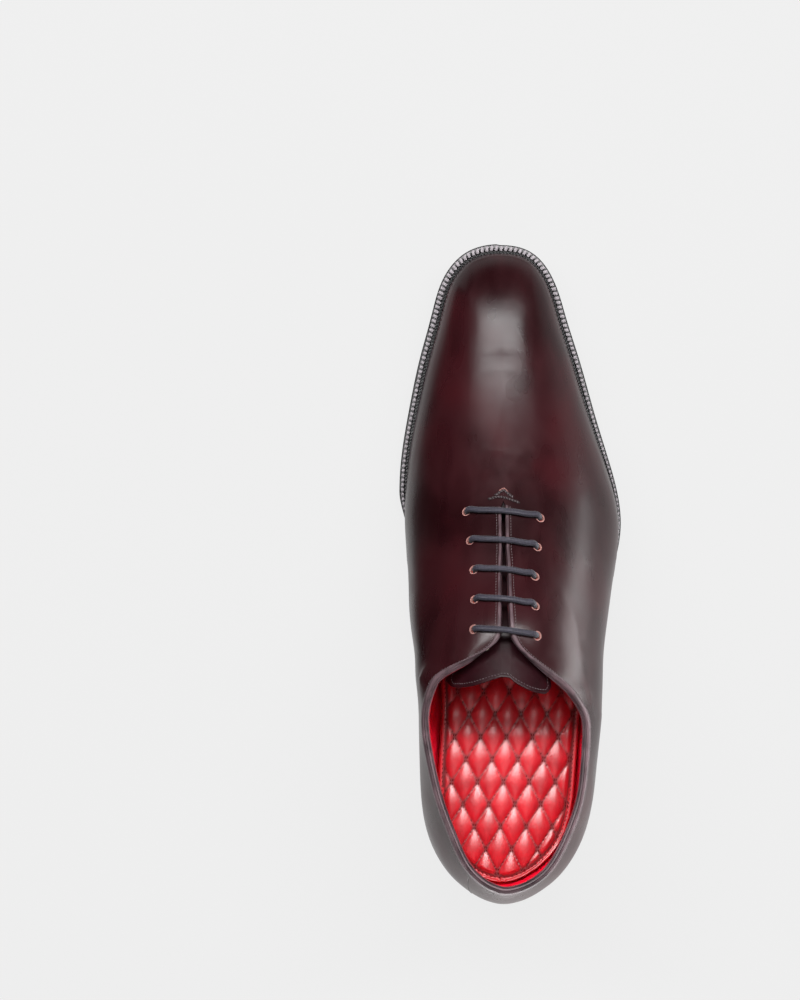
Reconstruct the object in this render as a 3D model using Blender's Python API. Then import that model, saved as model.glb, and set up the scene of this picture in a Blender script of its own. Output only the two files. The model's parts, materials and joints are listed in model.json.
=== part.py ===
"""A leather oxford shoe for the right foot: wholecut upper, welted leather sole, stacked heel.

Working frame: millimetres, +Y towards the toe, +X towards the little toe, +Z up, with Y = 0 at
the back of the heel and X = 0 on the line from the back seam to the toe. The last step scales
the working frame to metres and moves the middle of the shoe's footprint to the origin.
"""

import math

import bmesh
import bpy
import numpy as np
from mathutils import Matrix, Vector

MM = 0.001

# ---------------------------------------------------------------- driving dimensions, millimetres
GAP = 0.3                      # clearance that two neighbouring pieces keep
HEEL_HEIGHT = 24.0             # floor to the underside of the outsole at the heel
HEEL_BREAST = 70.0             # front face of the heel, from the back
BALL_FLAT = (176.0, 214.0)     # stretch of the outsole that lies flat on the floor
TOE_SPRING = 9.0               # how far the outsole's tip stands off the floor
TOE_END = 298.0

OUTSOLE_THICK = 5.0
WELT_THICK = 3.0
MARGIN = 9.0                   # width of the upper that is turned in under the insole
UPPER_THICK = 1.3
STIFFENER_THICK = 1.0
LINING_THICK = 0.9
INSOLE_THICK = 2.5
FOAM_THICK = 2.0
SOCK_THICK = 2.2

LACE_RADIUS = 1.4
EYELET_SPAN = (16.4, 14.8, 13.4, 13.2, 13.8)   # half the distance between the holes of a row
FIRST_EYELET = 173.2
EYELET_PITCH = 12.8
EYELET_DEPTH = 2.0             # the top of a blind eyelet, under the outside of the upper
EYELET_SKEW = 1.4              # the inner side's holes sit this much nearer the toe
TONGUE_HINGE = (0.0, 190.0, 50.0)

# Depths below the outside of the upper, from which each layer of the wall starts and ends.
UPPER_AT = (0.0, UPPER_THICK)
STIFFENER_AT = (UPPER_AT[1] + GAP, UPPER_AT[1] + GAP + STIFFENER_THICK)
LINING_AT = (STIFFENER_AT[1] + GAP, STIFFENER_AT[1] + GAP + LINING_THICK)

# Heights above the underside of the outsole.
WELT_AT = OUTSOLE_THICK + GAP
FEATHER_AT = WELT_AT + WELT_THICK + GAP
INSOLE_AT = FEATHER_AT + LINING_AT[1] + GAP
FOAM_AT = INSOLE_AT + INSOLE_THICK + GAP
SOCK_AT = FOAM_AT + FOAM_THICK + GAP

OUTER, INNER = 1, -1           # little-toe side and arch side

# Ribs of the upper, from the back seam to the tip of the toe. Each rib is a Bezier curve that
# starts at the feather line and ends at the top line, the lacing edge or the ridge of the vamp:
# (feather x, y), (top x, y, z), swell and rise of the lower handle, reach and drop of the upper
# handle, and how steeply the ridge climbs there.
BACK_RIB = ((0.0, 4.5), (0.3, 8.4, 94.0), 9.0, 22.0, 9.0, 22.0, 0.0)
TOE_POLE = (0.0, 261.0, 41.0)
TIP_RIB = ((0.0, 292.8), TOE_POLE, 2.0, 12.0, 15.0, 0.0, -0.15)
RIBS = {
    OUTER: [
        BACK_RIB,
        ((17.2, 10.6), (16.1, 14.5, 93.0), 7.6, 22.0, 8.0, 22.0, 0.0),
        ((32.0, 30.0), (27.5, 31.1, 90.0), 8.0, 21.0, 8.0, 21.0, 0.0),
        ((36.0, 55.0), (35.0, 54.0, 86.0), 8.5, 20.0, 7.0, 20.0, 0.0),
        ((38.0, 85.0), (36.8, 80.5, 83.5), 9.5, 20.0, 9.0, 19.0, 0.0),
        ((41.2, 106.0), (27.6, 98.3, 93.0), 13.2, 24.0, 11.0, 13.0, -0.3),
        ((44.8, 120.0), (2.6, 119.0, 100.0), 12.0, 28.0, 26.0, 5.0, -0.55),
        ((50.6, 146.0), (1.7, 149.0, 84.0), 9.0, 25.0, 28.0, 3.0, -0.56),
        ((53.9, 170.0), (0.0, 180.0, 67.0), 6.0, 20.0, 28.0, 0.0, -0.50),
        ((47.9, 197.0), (0.0, 203.0, 56.5), 3.5, 18.0, 25.0, 0.0, -0.38),
        ((40.4, 219.0), (0.0, 225.0, 49.0), 3.0, 16.0, 22.0, 0.0, -0.28),
        ((32.3, 245.5), (0.0, 248.0, 43.6), 2.4, 14.5, 17.5, 0.0, -0.18),
        ((26.5, 263.5), TOE_POLE, 2.0, 13.5, 15.0, 0.0, -0.15),
        ((20.2, 281.0), TOE_POLE, 2.0, 13.0, 16.0, 0.0, -0.15),
        ((11.8, 290.4), TOE_POLE, 2.0, 12.0, 16.0, 0.0, -0.15),
        TIP_RIB,
    ],
    INNER: [
        BACK_RIB,
        ((-16.2, 10.2), (-14.6, 16.0, 93.0), 7.8, 22.0, 8.0, 22.0, 0.0),
        ((-29.0, 28.0), (-24.2, 34.2, 91.0), 8.0, 21.0, 8.0, 21.0, 0.0),
        ((-31.5, 52.0), (-31.8, 57.0, 88.0), 8.0, 20.0, 6.0, 20.0, 0.0),
        ((-29.5, 85.0), (-36.0, 84.0, 85.5), 9.0, 20.0, 3.0, 20.0, 0.0),
        ((-30.9, 108.0), (-29.8, 103.2, 93.5), 14.5, 25.0, 12.0, 13.0, -0.3),
        ((-35.5, 122.0), (-2.6, 119.0, 100.0), 16.5, 28.0, 28.0, 5.0, -0.55),
        ((-39.5, 147.0), (-1.7, 149.0, 84.0), 11.0, 26.0, 28.0, 3.0, -0.56),
        ((-41.9, 171.0), (0.0, 180.0, 67.0), 9.0, 20.0, 26.0, 0.0, -0.50),
        ((-41.6, 197.0), (0.0, 203.0, 56.5), 3.5, 17.0, 22.0, 0.0, -0.38),
        ((-37.9, 219.0), (0.0, 225.0, 49.0), 3.0, 16.0, 20.0, 0.0, -0.28),
        ((-31.8, 246.0), (0.0, 248.0, 43.6), 2.4, 14.5, 17.0, 0.0, -0.18),
        ((-27.0, 263.5), TOE_POLE, 2.0, 13.5, 15.0, 0.0, -0.15),
        ((-21.2, 281.0), TOE_POLE, 2.0, 13.0, 16.0, 0.0, -0.15),
        ((-12.6, 290.0), TOE_POLE, 2.0, 12.0, 16.0, 0.0, -0.15),
        TIP_RIB,
    ],
}
THROAT_RIB, VAMP_RIB, POLE_RIB = 6, 8, 12      # places in the lists above
BACK_ROUND = 1.35              # how full the top line is behind the heel

COLUMNS = 36                   # ribs of the mesh on each side
TURN_WEIGHT = 35.0             # millimetres of travel that one radian of turn counts for
WALL_ROWS = (0.16, 0.30, 0.44, 0.58, 0.72, 0.86, 1.0)


# ---------------------------------------------------------------- curves through given points
def clamped_spline(knots, values, start, end):
    """Second-order smooth curve through the values, with given slopes at both ends."""
    knots = np.asarray(knots, float)
    values = np.asarray(values, float)
    count = len(knots)
    step = np.diff(knots)
    matrix = np.zeros((count, count))
    right = np.zeros((count, values.shape[1]))
    matrix[0, 0] = matrix[-1, -1] = 1.0
    right[0], right[-1] = start, end
    for i in range(1, count - 1):
        matrix[i, i - 1] = step[i]
        matrix[i, i] = 2.0 * (step[i - 1] + step[i])
        matrix[i, i + 1] = step[i - 1]
        rise_before = (values[i] - values[i - 1]) / step[i - 1]
        rise_after = (values[i + 1] - values[i]) / step[i]
        right[i] = 3.0 * (step[i] * rise_before + step[i - 1] * rise_after)
    slopes = np.linalg.solve(matrix, right)
    return lambda u: hermite(knots, values, slopes, u)


def gentle_spline(knots, values, start=0.0):
    """Smooth curve through the values, with a given slope at its start, that never overshoots."""
    knots = np.asarray(knots, float)
    values = np.asarray(values, float)
    step = np.diff(knots)[:, None]
    rise = np.diff(values, axis=0) / step
    slopes = np.zeros_like(values)
    slopes[0] = start
    for i in range(1, len(knots) - 1):
        before, after = rise[i - 1], rise[i]
        weight_a = 2.0 * step[i] + step[i - 1]
        weight_b = step[i] + 2.0 * step[i - 1]
        same = before * after > 0
        low = np.where(same, before, 1.0)
        high = np.where(same, after, 1.0)
        mean = (weight_a + weight_b) / (weight_a / low + weight_b / high)
        slopes[i] = np.where(same, mean, 0.0)
    return lambda u: hermite(knots, values, slopes, u)


def hermite(knots, values, slopes, u):
    u = np.atleast_1d(np.asarray(u, float))
    i = np.clip(np.searchsorted(knots, u, side="right") - 1, 0, len(knots) - 2)
    step = (knots[i + 1] - knots[i])[:, None]
    s = (u - knots[i])[:, None] / step
    from_start = (2 * s**3 - 3 * s**2 + 1) * values[i] + (s**3 - 2 * s**2 + s) * step * slopes[i]
    to_end = (3 * s**2 - 2 * s**3) * values[i + 1] + (s**3 - s**2) * step * slopes[i + 1]
    return from_start + to_end


# ---------------------------------------------------------------- the last that the shoe is made on
def sole_height(y):
    """Underside of the outsole above the floor: heel seat, waist, flat tread, toe spring."""
    y = np.asarray(y, float)
    waist = np.clip((y - HEEL_BREAST - 3.0) / (BALL_FLAT[0] - HEEL_BREAST - 3.0), 0.0, 1.0)
    spring = np.clip((y - BALL_FLAT[1]) / (TOE_END - BALL_FLAT[1]), 0.0, 1.5)
    seat = HEEL_HEIGHT * (1.0 - waist * waist * (3.0 - 2.0 * waist))
    return seat + TOE_SPRING * spring**2


class HalfLast:
    """One side of the upper's outside surface, as a family of ribs."""

    def __init__(self, side):
        ribs = RIBS[side]
        feather = np.array([rib[0] for rib in ribs])
        length = np.concatenate([[0.0], np.cumsum(np.linalg.norm(np.diff(feather, axis=0), axis=1))])
        self.side = side
        self.knots = length / length[-1]
        start = (side * length[-1], 0.0)
        end = (-side * length[-1], 0.0)
        self.feather = clamped_spline(self.knots, feather, start, end)
        across = (ribs[1][1][0] - ribs[0][1][0]) / self.knots[1]
        self.top = gentle_spline(self.knots, [rib[1] for rib in ribs], (BACK_ROUND * across, 0.0, 0.0))
        self.shape = gentle_spline(self.knots, [rib[2:] for rib in ribs])
        self.fine_u = np.linspace(0.0, 1.0, 801)
        self.fine_column = self.spread()

    def spread(self):
        """Shares the mesh's columns out by how far the ribs' ends travel and the edge turns."""
        feather, top = self.feather(self.fine_u), self.top(self.fine_u)
        outward = self.outward(self.fine_u)
        travel = np.hypot(
            np.linalg.norm(np.diff(feather, axis=0), axis=1),
            np.linalg.norm(np.diff(top, axis=0), axis=1),
        )
        turn = np.linalg.norm(np.diff(outward, axis=0), axis=1)
        total = np.concatenate([[0.0], np.cumsum(travel + TURN_WEIGHT * turn)])
        return total * COLUMNS / total[-1]

    def u_at(self, column):
        return float(np.interp(column, self.fine_column, self.fine_u))

    def column_at(self, u):
        column = float(np.interp(u, self.fine_u, self.fine_column))
        return column if self.side == OUTER else 2 * COLUMNS - column

    def outward(self, u):
        """Unit vector in plan, square to the feather line and away from the foot."""
        small = 1e-4
        low = np.clip(u - small, 0.0, 1.0)
        high = np.clip(u + small, 0.0, 1.0)
        along = self.feather(high) - self.feather(low)
        along /= np.linalg.norm(along, axis=1)[:, None]
        return self.side * np.stack([along[:, 1], -along[:, 0]], axis=1)

    def control(self, u):
        u = np.atleast_1d(np.asarray(u, float))
        feather, top, shape = self.feather(u), self.top(u), self.shape(u)
        outward = self.outward(u)
        span = feather - top[:, :2]
        span /= np.linalg.norm(span, axis=1)[:, None]
        blend = (u - self.knots[THROAT_RIB - 1]) / (self.knots[VAMP_RIB] - self.knots[THROAT_RIB - 1])
        blend = np.clip(blend, 0.0, 1.0)[:, None]
        across = (1.0 - blend) * outward + blend * span
        across /= np.linalg.norm(across, axis=1)[:, None]
        swell, rise, reach, drop, climb = (shape[:, k] for k in range(5))
        start = np.column_stack([feather, sole_height(feather[:, 1]) + FEATHER_AT])
        lower = start + np.column_stack([outward * swell[:, None], rise])
        fall = across[:, 1] * reach * climb - drop
        upper = top + np.column_stack([across * reach[:, None], fall])
        return start, lower, upper, top

    def point(self, u, t):
        start, lower, upper, top = self.control(u)
        t = np.broadcast_to(np.asarray(t, float), (len(start),))[:, None]
        s = 1.0 - t
        return s**3 * start + 3 * s**2 * t * lower + 3 * s * t**2 * upper + t**3 * top

    def normal(self, u, t):
        u = np.atleast_1d(np.asarray(u, float))
        t = np.clip(np.broadcast_to(np.asarray(t, float), u.shape), 0.02, 0.97)
        small = 1e-3
        low, high = np.clip(u - small, 0, 1), np.clip(u + small, 0, 1)
        along = self.point(high, t) - self.point(low, t)
        up = self.point(u, t + 0.01) - self.point(u, t - 0.01)
        normal = self.side * np.cross(along, up)
        return normal / np.linalg.norm(normal, axis=1)[:, None]

    def layer(self, u, t, depth):
        """Points of the surface that lies the given depth under the outside."""
        u = np.atleast_1d(np.asarray(u, float))
        t = np.broadcast_to(np.asarray(t, float), u.shape)
        normal = self.normal(u, t)
        on_ridge = (t > 0.999) & (u > self.knots[VAMP_RIB] - 1e-6)
        on_middle = (u < 1e-6) | (u > 1.0 - 1e-6) | on_ridge
        normal[on_middle, 0] = 0.0
        at_pole = (t > 0.999) & (u > self.knots[POLE_RIB] - 1e-6)
        normal[at_pole] = (0.0, 0.15, 1.0)
        normal /= np.linalg.norm(normal, axis=1)[:, None]
        return self.point(u, t) - depth * normal

    def under(self, x, y):
        """The (u, t) whose point lies at the given place in plan, found by halving the search."""
        low, high = np.array([0.0, 0.3]), np.array([1.0, 1.0])
        for _ in range(7):
            us = np.linspace(low[0], high[0], 25)
            ts = np.linspace(low[1], high[1], 25)
            grid_u, grid_t = (grid.ravel() for grid in np.meshgrid(us, ts))
            found = self.point(grid_u, grid_t)[:, :2] - (x, y)
            best = np.argmin((found**2).sum(axis=1))
            centre = np.array([grid_u[best], grid_t[best]])
            reach = (high - low) / 6.0
            low = np.maximum(centre - reach, (0.0, 0.3))
            high = np.minimum(centre + reach, (1.0, 1.0))
        return centre


LAST = {side: HalfLast(side) for side in (OUTER, INNER)}


# ---------------------------------------------------------------- the lattice that the shells share
def half_and_u(column):
    """Columns run from the back seam round the outer side to the toe and back along the inner side."""
    column = column % (2 * COLUMNS)
    if column <= COLUMNS:
        return LAST[OUTER], LAST[OUTER].u_at(column)
    return LAST[INNER], LAST[INNER].u_at(2 * COLUMNS - column)


LATTICE = {}


def lattice(depth):
    """Every column and row of the wall at one depth; rows 0 and 1 are the turned-in margin."""
    if depth in LATTICE:
        return LATTICE[depth]
    rows = len(WALL_ROWS) + 2
    grid = np.zeros((2 * COLUMNS + 1, rows, 3))
    for column in range(2 * COLUMNS + 1):
        half, u = half_and_u(column)
        corner = half.feather(u)[0]
        outward = half.outward(np.array([u]))[0]
        for row, inward in enumerate((MARGIN, depth)):
            x, y = corner - outward * inward
            grid[column, row] = (x, y, float(sole_height(y)) + FEATHER_AT + depth)
        for row, t in enumerate(WALL_ROWS):
            grid[column, row + 2] = half.layer(u, t, depth)[0]
    LATTICE[depth] = grid
    return grid


def on_lattice(depth, column, row):
    """A point between lattice points, on the flat facets that they span."""
    grid = lattice(depth)
    column = column % (2 * COLUMNS)
    i = min(int(column), 2 * COLUMNS - 1)
    j = min(int(row), grid.shape[1] - 2)
    p, q = column - i, row - j
    low = grid[i, j] * (1 - p) + grid[i + 1, j] * p
    high = grid[i, j + 1] * (1 - p) + grid[i + 1, j + 1] * p
    return low * (1 - q) + high * q


TOP_ROW = len(WALL_ROWS) + 1


def steps_between(first, last):
    """The whole numbers between two ends, with both ends."""
    inside = [k for k in range(math.ceil(first - 1e-9), math.floor(last + 1e-9) + 1)]
    inside = [k for k in inside if first + 1e-3 < k < last - 1e-3]
    return [first, *inside, last]


# ---------------------------------------------------------------- building objects
def clear_scene():
    for obj in list(bpy.data.objects):
        bpy.data.objects.remove(obj, do_unlink=True)


def new_collection(name, hidden):
    collection = bpy.data.collections.new(name)
    bpy.context.scene.collection.children.link(collection)
    collection.hide_render = hidden
    return collection


def material(name, colour, roughness, metallic=0.0):
    made = bpy.data.materials.get(name)
    if made:
        return made
    made = bpy.data.materials.new(name)
    made.use_nodes = True
    shader = made.node_tree.nodes["Principled BSDF"]
    shader.inputs["Base Color"].default_value = (*colour, 1.0)
    shader.inputs["Roughness"].default_value = roughness
    shader.inputs["Metallic"].default_value = metallic
    return made


def finish_bmesh(name, bm, look, smooth=True):
    bmesh.ops.remove_doubles(bm, verts=bm.verts, dist=0.005)
    bmesh.ops.recalc_face_normals(bm, faces=bm.faces)
    mesh = bpy.data.meshes.new(name)
    bm.to_mesh(mesh)
    bm.free()
    if smooth:
        mesh.shade_smooth()
        mesh.set_sharp_from_angle(angle=math.radians(35.0))
    mesh.materials.append(material(*look))
    obj = bpy.data.objects.new(name, mesh)
    PARTS.objects.link(obj)
    return obj


BURGUNDY = ("burgundy_calf", (0.07, 0.012, 0.018), 0.32)
DARK_CALF = ("dark_burgundy_calf", (0.03, 0.006, 0.009), 0.38)
RED_LINING = ("red_lining", (0.35, 0.01, 0.02), 0.5)
RED_SOCK = ("red_sock", (0.45, 0.02, 0.04), 0.45)
SOLE_LEATHER = ("sole_leather", (0.30, 0.17, 0.09), 0.6)
BLACK_WELT = ("black_welt", (0.02, 0.018, 0.02), 0.5)
BLACK_LEATHER = ("black_heel_leather", (0.025, 0.02, 0.02), 0.45)
RUBBER = ("black_rubber", (0.015, 0.015, 0.015), 0.8)
CORK = ("cork", (0.35, 0.2, 0.1), 0.9)
CANVAS = ("canvas_stiffener", (0.6, 0.55, 0.45), 0.9)
STEEL = ("steel", (0.5, 0.5, 0.52), 0.35, 1.0)
BRASS = ("brass", (0.7, 0.5, 0.2), 0.35, 1.0)
FOAM = ("foam", (0.7, 0.65, 0.5), 0.95)
CORD = ("waxed_cord", (0.06, 0.055, 0.075), 0.6)
THREAD = ("grey_thread", (0.3, 0.27, 0.3), 0.7)
EDGE_BAND = ("burnished_band", (0.1, 0.07, 0.075), 0.4)


def spot_of(vert):
    """A key for a place, coarse enough to find a copied or merged vertex again."""
    return tuple(round(c, 3) for c in vert.co)


def shell(name, depths, columns, rows, look, smooth=True):
    """One layer of the wall: a grid laid on its outer face, thickened down to its inner face."""
    outer, inner = depths
    around = steps_between(*columns)
    up = steps_between(*rows)
    bm = bmesh.new()
    bmesh.ops.create_grid(bm, x_segments=len(around) - 1, y_segments=len(up) - 1, size=0.5)
    bm.verts.ensure_lookup_table()
    low = [float(round(v.co.x * (len(around) - 1) + (len(around) - 1) / 2)) for v in bm.verts]
    high = [float(round(v.co.y * (len(up) - 1) + (len(up) - 1) / 2)) for v in bm.verts]
    by_place = {}
    for vert, i, j in zip(bm.verts, low, high):
        vert.co = on_lattice(outer, around[int(i)], up[int(j)])
        by_place.setdefault(spot_of(vert), (around[int(i)], up[int(j)]))
    bmesh.ops.remove_doubles(bm, verts=bm.verts, dist=0.002)
    made = bmesh.ops.extrude_face_region(bm, geom=bm.faces[:], use_keep_orig=True)
    fresh = [item for item in made["geom"] if isinstance(item, bmesh.types.BMVert)]
    for vert in fresh:
        vert.co = on_lattice(inner, *by_place[spot_of(vert)])
    return finish_bmesh(name, bm, look, smooth)


def outline(offset):
    """Closed plan outline at a distance outside the feather line; the offset may be a function."""
    points = []
    for column in range(2 * COLUMNS):
        half, u = half_and_u(column)
        place = half.feather(u)[0]
        away = offset(half.side, u, place) if callable(offset) else offset
        points.append(place + half.outward(np.array([u]))[0] * away)
    return points


def inside_wall(low, high):
    """The offset at which a flat piece between two heights above the feather clears the lining."""
    depth = LINING_AT[1] + GAP
    rows = np.linspace(1.0, 5.0, 41)

    def offset(side, u, place):
        half = LAST[side]
        wall = np.array([on_lattice(depth, half.column_at(u), row) for row in rows])
        rise = wall[:, 2] - float(sole_height(place[1])) - FEATHER_AT
        away = (wall[:, :2] - place) @ half.outward(np.array([u]))[0]
        level = (rise > low - 1.5) & (rise < high + 1.5)
        return away[level].min() - GAP

    return offset


# How the welt widens on each side: (millimetres added, (where it starts, over what length)).
WELT_RUNS = {
    OUTER: ((1.1, (138.0, 32.0)), (1.9, (165.0, 80.0))),
    INNER: ((2.7, (166.0, 18.0)), (0.7, (190.0, 60.0))),
}


def welt_width(side, u, place):
    """How far the sole's edge stands outside the feather line: close at waist and heel."""
    width = 1.2
    for added, (start, run) in WELT_RUNS[side]:
        share = min(max((place[1] - start) / run, 0.0), 1.0)
        width += added * share * share * (3.0 - 2.0 * share)
    return width


def plan_face(points, cuts):
    """A flat outline as one face, cut across at each given place along the shoe."""
    bm = bmesh.new()
    bm.faces.new([bm.verts.new((x, y, 0.0)) for x, y in points])
    for y in cuts:
        geometry = bm.verts[:] + bm.edges[:] + bm.faces[:]
        bmesh.ops.bisect_plane(bm, geom=geometry, plane_co=(0, y, 0), plane_no=(0, 1, 0), dist=0.01)
    return bm


def keep_between(bm, back, front):
    """Cuts away what lies behind `back` or in front of `front`."""
    for y, sign in ((back, -1.0), (front, 1.0)):
        geometry = bm.verts[:] + bm.edges[:] + bm.faces[:]
        bmesh.ops.bisect_plane(
            bm, geom=geometry, plane_co=(0, y, 0), plane_no=(0, sign, 0), clear_outer=True
        )


def thicken(bm, low, high, follow=True):
    """Lifts the flat outline to `low` above the sole's underside and gives it a thickness."""
    for vert in bm.verts:
        vert.co.z = low + (float(sole_height(vert.co.y)) if follow else 0.0)
    made = bmesh.ops.extrude_face_region(bm, geom=bm.faces[:], use_keep_orig=True)
    fresh = [item for item in made["geom"] if isinstance(item, bmesh.types.BMVert)]
    bmesh.ops.translate(bm, verts=fresh, vec=(0.0, 0.0, high - low))


SOLE_CUTS = [float(y) for y in [*range(78, 176, 7), *range(176, 296, 20)]]


def plate(name, offset, low, high, look, back=-10.0, front=310.0):
    """A sheet that follows the sole's curve, such as the outsole or the insole."""
    bm = plan_face(outline(offset), SOLE_CUTS)
    keep_between(bm, back, front)
    thicken(bm, low, high)
    return finish_bmesh(name, bm, look)


def strip(name, outside, inside, low, high, look, columns, short=0.0):
    """A band of even height along the sole's edge; its ends stop short by a share of a column."""
    bm = bmesh.new()
    count = columns[1] - columns[0]
    bmesh.ops.create_grid(bm, x_segments=count, y_segments=1, size=0.5)
    edges = {1: outline(outside), 0: outline(inside)}
    for vert in bm.verts:
        column = int(round((vert.co.x + 0.5) * count)) + columns[0]
        edge = edges[int(round(vert.co.y + 0.5))]
        inward = (column == columns[0]) - (column == columns[1])
        place = edge[column % (2 * COLUMNS)]
        neighbour = edge[(column + inward) % (2 * COLUMNS)]
        vert.co = (*(place + (neighbour - place) * short), 0.0)
    thicken(bm, low, high)
    return finish_bmesh(name, bm, look)


def pin(name, x, y, low, high, radius, look, sides=10):
    """A nail or a pin that stands upright."""
    bm = bmesh.new()
    bmesh.ops.create_cone(
        bm, cap_ends=True, segments=sides, radius1=radius, radius2=radius, depth=high - low,
        matrix=Matrix.Translation((x, y, (low + high) / 2)),
    )
    return finish_bmesh(name, bm, look)


def cutter(name, matrix, radius, depth, sides=12):
    bm = bmesh.new()
    bmesh.ops.create_cone(
        bm, cap_ends=True, segments=sides, radius1=radius, radius2=radius, depth=depth, matrix=matrix
    )
    mesh = bpy.data.meshes.new(name)
    bm.to_mesh(mesh)
    bm.free()
    obj = bpy.data.objects.new(name, mesh)
    obj.hide_render = True
    obj.display_type = "WIRE"
    CUTTERS.objects.link(obj)
    return obj


def cut(obj, tools):
    for number, tool in enumerate(tools):
        modifier = obj.modifiers.new(f"cut_{number}", "BOOLEAN")
        modifier.operation = "DIFFERENCE"
        modifier.solver = "EXACT"
        modifier.object = tool


def tube(name, points, radius, look, resolution=2):
    """A cord or a thread as a curve with a round section and closed ends."""
    curve = bpy.data.curves.new(name, "CURVE")
    curve.dimensions = "3D"
    curve.bevel_depth = radius
    curve.bevel_resolution = resolution
    curve.use_fill_caps = True
    spline = curve.splines.new("POLY")
    spline.points.add(len(points) - 1)
    for slot, place in zip(spline.points, points):
        slot.co = (*place, 1.0)
    curve.materials.append(material(*look))
    obj = bpy.data.objects.new(name, curve)
    PARTS.objects.link(obj)
    return obj


# ---------------------------------------------------------------- sole and heel
HEEL_FACE = 0.8                # the heel stands this far outside the feather line
TOP_PIECE = 6.0
LIFTS = 3
NAIL_SPOTS = [(-17.0, 30.0), (0.0, 20.0), (19.0, 32.0), (-15.0, 56.0), (17.0, 58.0)]
WELT_SPLICE = 0.06              # share of a column between the welt's end and the rand's
PIN_SPOTS = [(-22.0, 25.0), (-9.5, 13.5), (9.5, 13.5), (23.5, 26.0), (-20.0, 60.0), (24.0, 60.0)]


def heel_slice(name, low, high, back, front, look):
    """One level of the heel, with the hollowed front face that a heel has."""
    bm = plan_face(outline(HEEL_FACE), ())
    keep_between(bm, back, front)
    if front > HEEL_BREAST - 1.0:
        edge = [e for e in bm.edges if all(abs(v.co.y - front) < 0.01 for v in e.verts)]
        bmesh.ops.subdivide_edges(bm, edges=edge, cuts=7)
        for vert in bm.verts:
            if abs(vert.co.y - front) < 0.01:
                vert.co.y -= 2.5 * max(0.0, 1.0 - ((vert.co.x - 3.0) / 34.0) ** 2)
    thicken(bm, low, high, follow=False)
    return finish_bmesh(name, bm, look)


def make_heel():
    rubber_front = 36.0
    levels = (HEEL_HEIGHT - TOP_PIECE) / LIFTS
    top_pieces = [
        heel_slice("heel_top_piece_rubber", 0.0, TOP_PIECE - GAP, -5.0, rubber_front, RUBBER),
        heel_slice(
            "heel_top_piece_leather", 0.0, TOP_PIECE - GAP, rubber_front + GAP, HEEL_BREAST,
            SOLE_LEATHER,
        ),
    ]
    lifts = []
    for level in range(LIFTS):
        low = TOP_PIECE + level * levels
        lifts.append(
            heel_slice(
                f"heel_lift_{level + 1}", low, low + levels - GAP, -5.0, HEEL_BREAST, BLACK_LEATHER
            )
        )
    nail_holes = []
    for number, (x, y) in enumerate(NAIL_SPOTS, 1):
        pin(f"heel_nail_{number}", x, y, TOP_PIECE + GAP, HEEL_HEIGHT + 4.0, 1.2, STEEL, 8)
        place = Matrix.Translation((x, y, 18.0))
        nail_holes.append(cutter(f"nail_hole_{number}", place, 1.2 + GAP, 24.4, 8))
    pin_holes = []
    for number, (x, y) in enumerate(PIN_SPOTS, 1):
        pin(f"top_piece_pin_{number}", x, y, 0.0, 9.0, 1.0, BRASS, 8)
        place = Matrix.Translation((x, y, 4.0))
        pin_holes.append(cutter(f"pin_hole_{number}", place, 1.0 + GAP, 11.0, 8))
    for piece in lifts:
        cut(piece, nail_holes)
    cut(lifts[0], pin_holes)
    cut(top_pieces[0], pin_holes[:4])
    cut(top_pieces[1], pin_holes[4:])
    return nail_holes


def make_sole(nail_holes):
    outsole = plate("outsole", welt_width, 0.0, OUTSOLE_THICK, SOLE_LEATHER)
    cut(outsole, nail_holes)
    breast = [
        column for column in range(2 * COLUMNS)
        if outline(0.0)[column][1] > HEEL_BREAST - 6.0
    ]
    first, last = min(breast), max(breast)
    strip(
        "welt", welt_width, -7.0, WELT_AT, WELT_AT + WELT_THICK, BLACK_WELT, (first, last)
    )
    strip(
        "heel_rand", welt_width, -7.0, WELT_AT, WELT_AT + WELT_THICK, BLACK_WELT,
        (last - 2 * COLUMNS, first), WELT_SPLICE,
    )
    rib_top = INSOLE_AT - GAP
    strip(
        "insole_rib", -10.0, -12.0, WELT_AT, rib_top, CANVAS, (first - 1, last + 1)
    )
    plate("cork_filler", -13.0, WELT_AT, WELT_AT + 5.0, CORK, 48.0)
    layers = (
        ("insole", INSOLE_AT, INSOLE_THICK, SOLE_LEATHER),
        ("sock_foam", FOAM_AT, FOAM_THICK, FOAM),
        ("sock_cover", SOCK_AT, SOCK_THICK, RED_SOCK),
    )
    for name, low, thick, look in layers:
        plate(name, inside_wall(low - FEATHER_AT, low + thick - FEATHER_AT), low, low + thick, look)
    shank = plan_face([(x, y) for x, y in ((-8, 52), (8, 52), (7, 150), (-7, 150))], SOLE_CUTS)
    thicken(shank, WELT_AT + 5.0 + GAP, WELT_AT + 5.0 + GAP + 1.2)
    finish_bmesh("shank", shank, STEEL)


# ---------------------------------------------------------------- upper and its linings
def column_of(side, rib):
    """The lattice column, whole or not, at one of the listed ribs."""
    return LAST[side].column_at(LAST[side].knots[rib])


def eyelet_places():
    """(side, u, t) of every lace hole, by side and row."""
    places = {}
    for side in (OUTER, INNER):
        for row, span in enumerate(EYELET_SPAN):
            y = FIRST_EYELET - row * EYELET_PITCH - side * EYELET_SKEW
            places[side, row] = LAST[side].under(side * span, y)
    return places


def lattice_place(side, u, t):
    """Where (u, t) falls among the lattice's columns and rows."""
    return LAST[side].column_at(u), float(np.interp(t, WALL_ROWS, range(2, 2 + len(WALL_ROWS))))


def frame_at(side, u, t, depth):
    """A matrix at a depth under the surface, with its Z axis along the surface normal."""
    column, row = lattice_place(side, u, t)
    deep = Vector(on_lattice(LINING_AT[1], column, row))
    normal = (Vector(on_lattice(0.0, column, row)) - deep).normalized()
    place = Vector(on_lattice(depth, column, row))
    return Matrix.Translation(place) @ normal.to_track_quat("Z", "Y").to_matrix().to_4x4()


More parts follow.
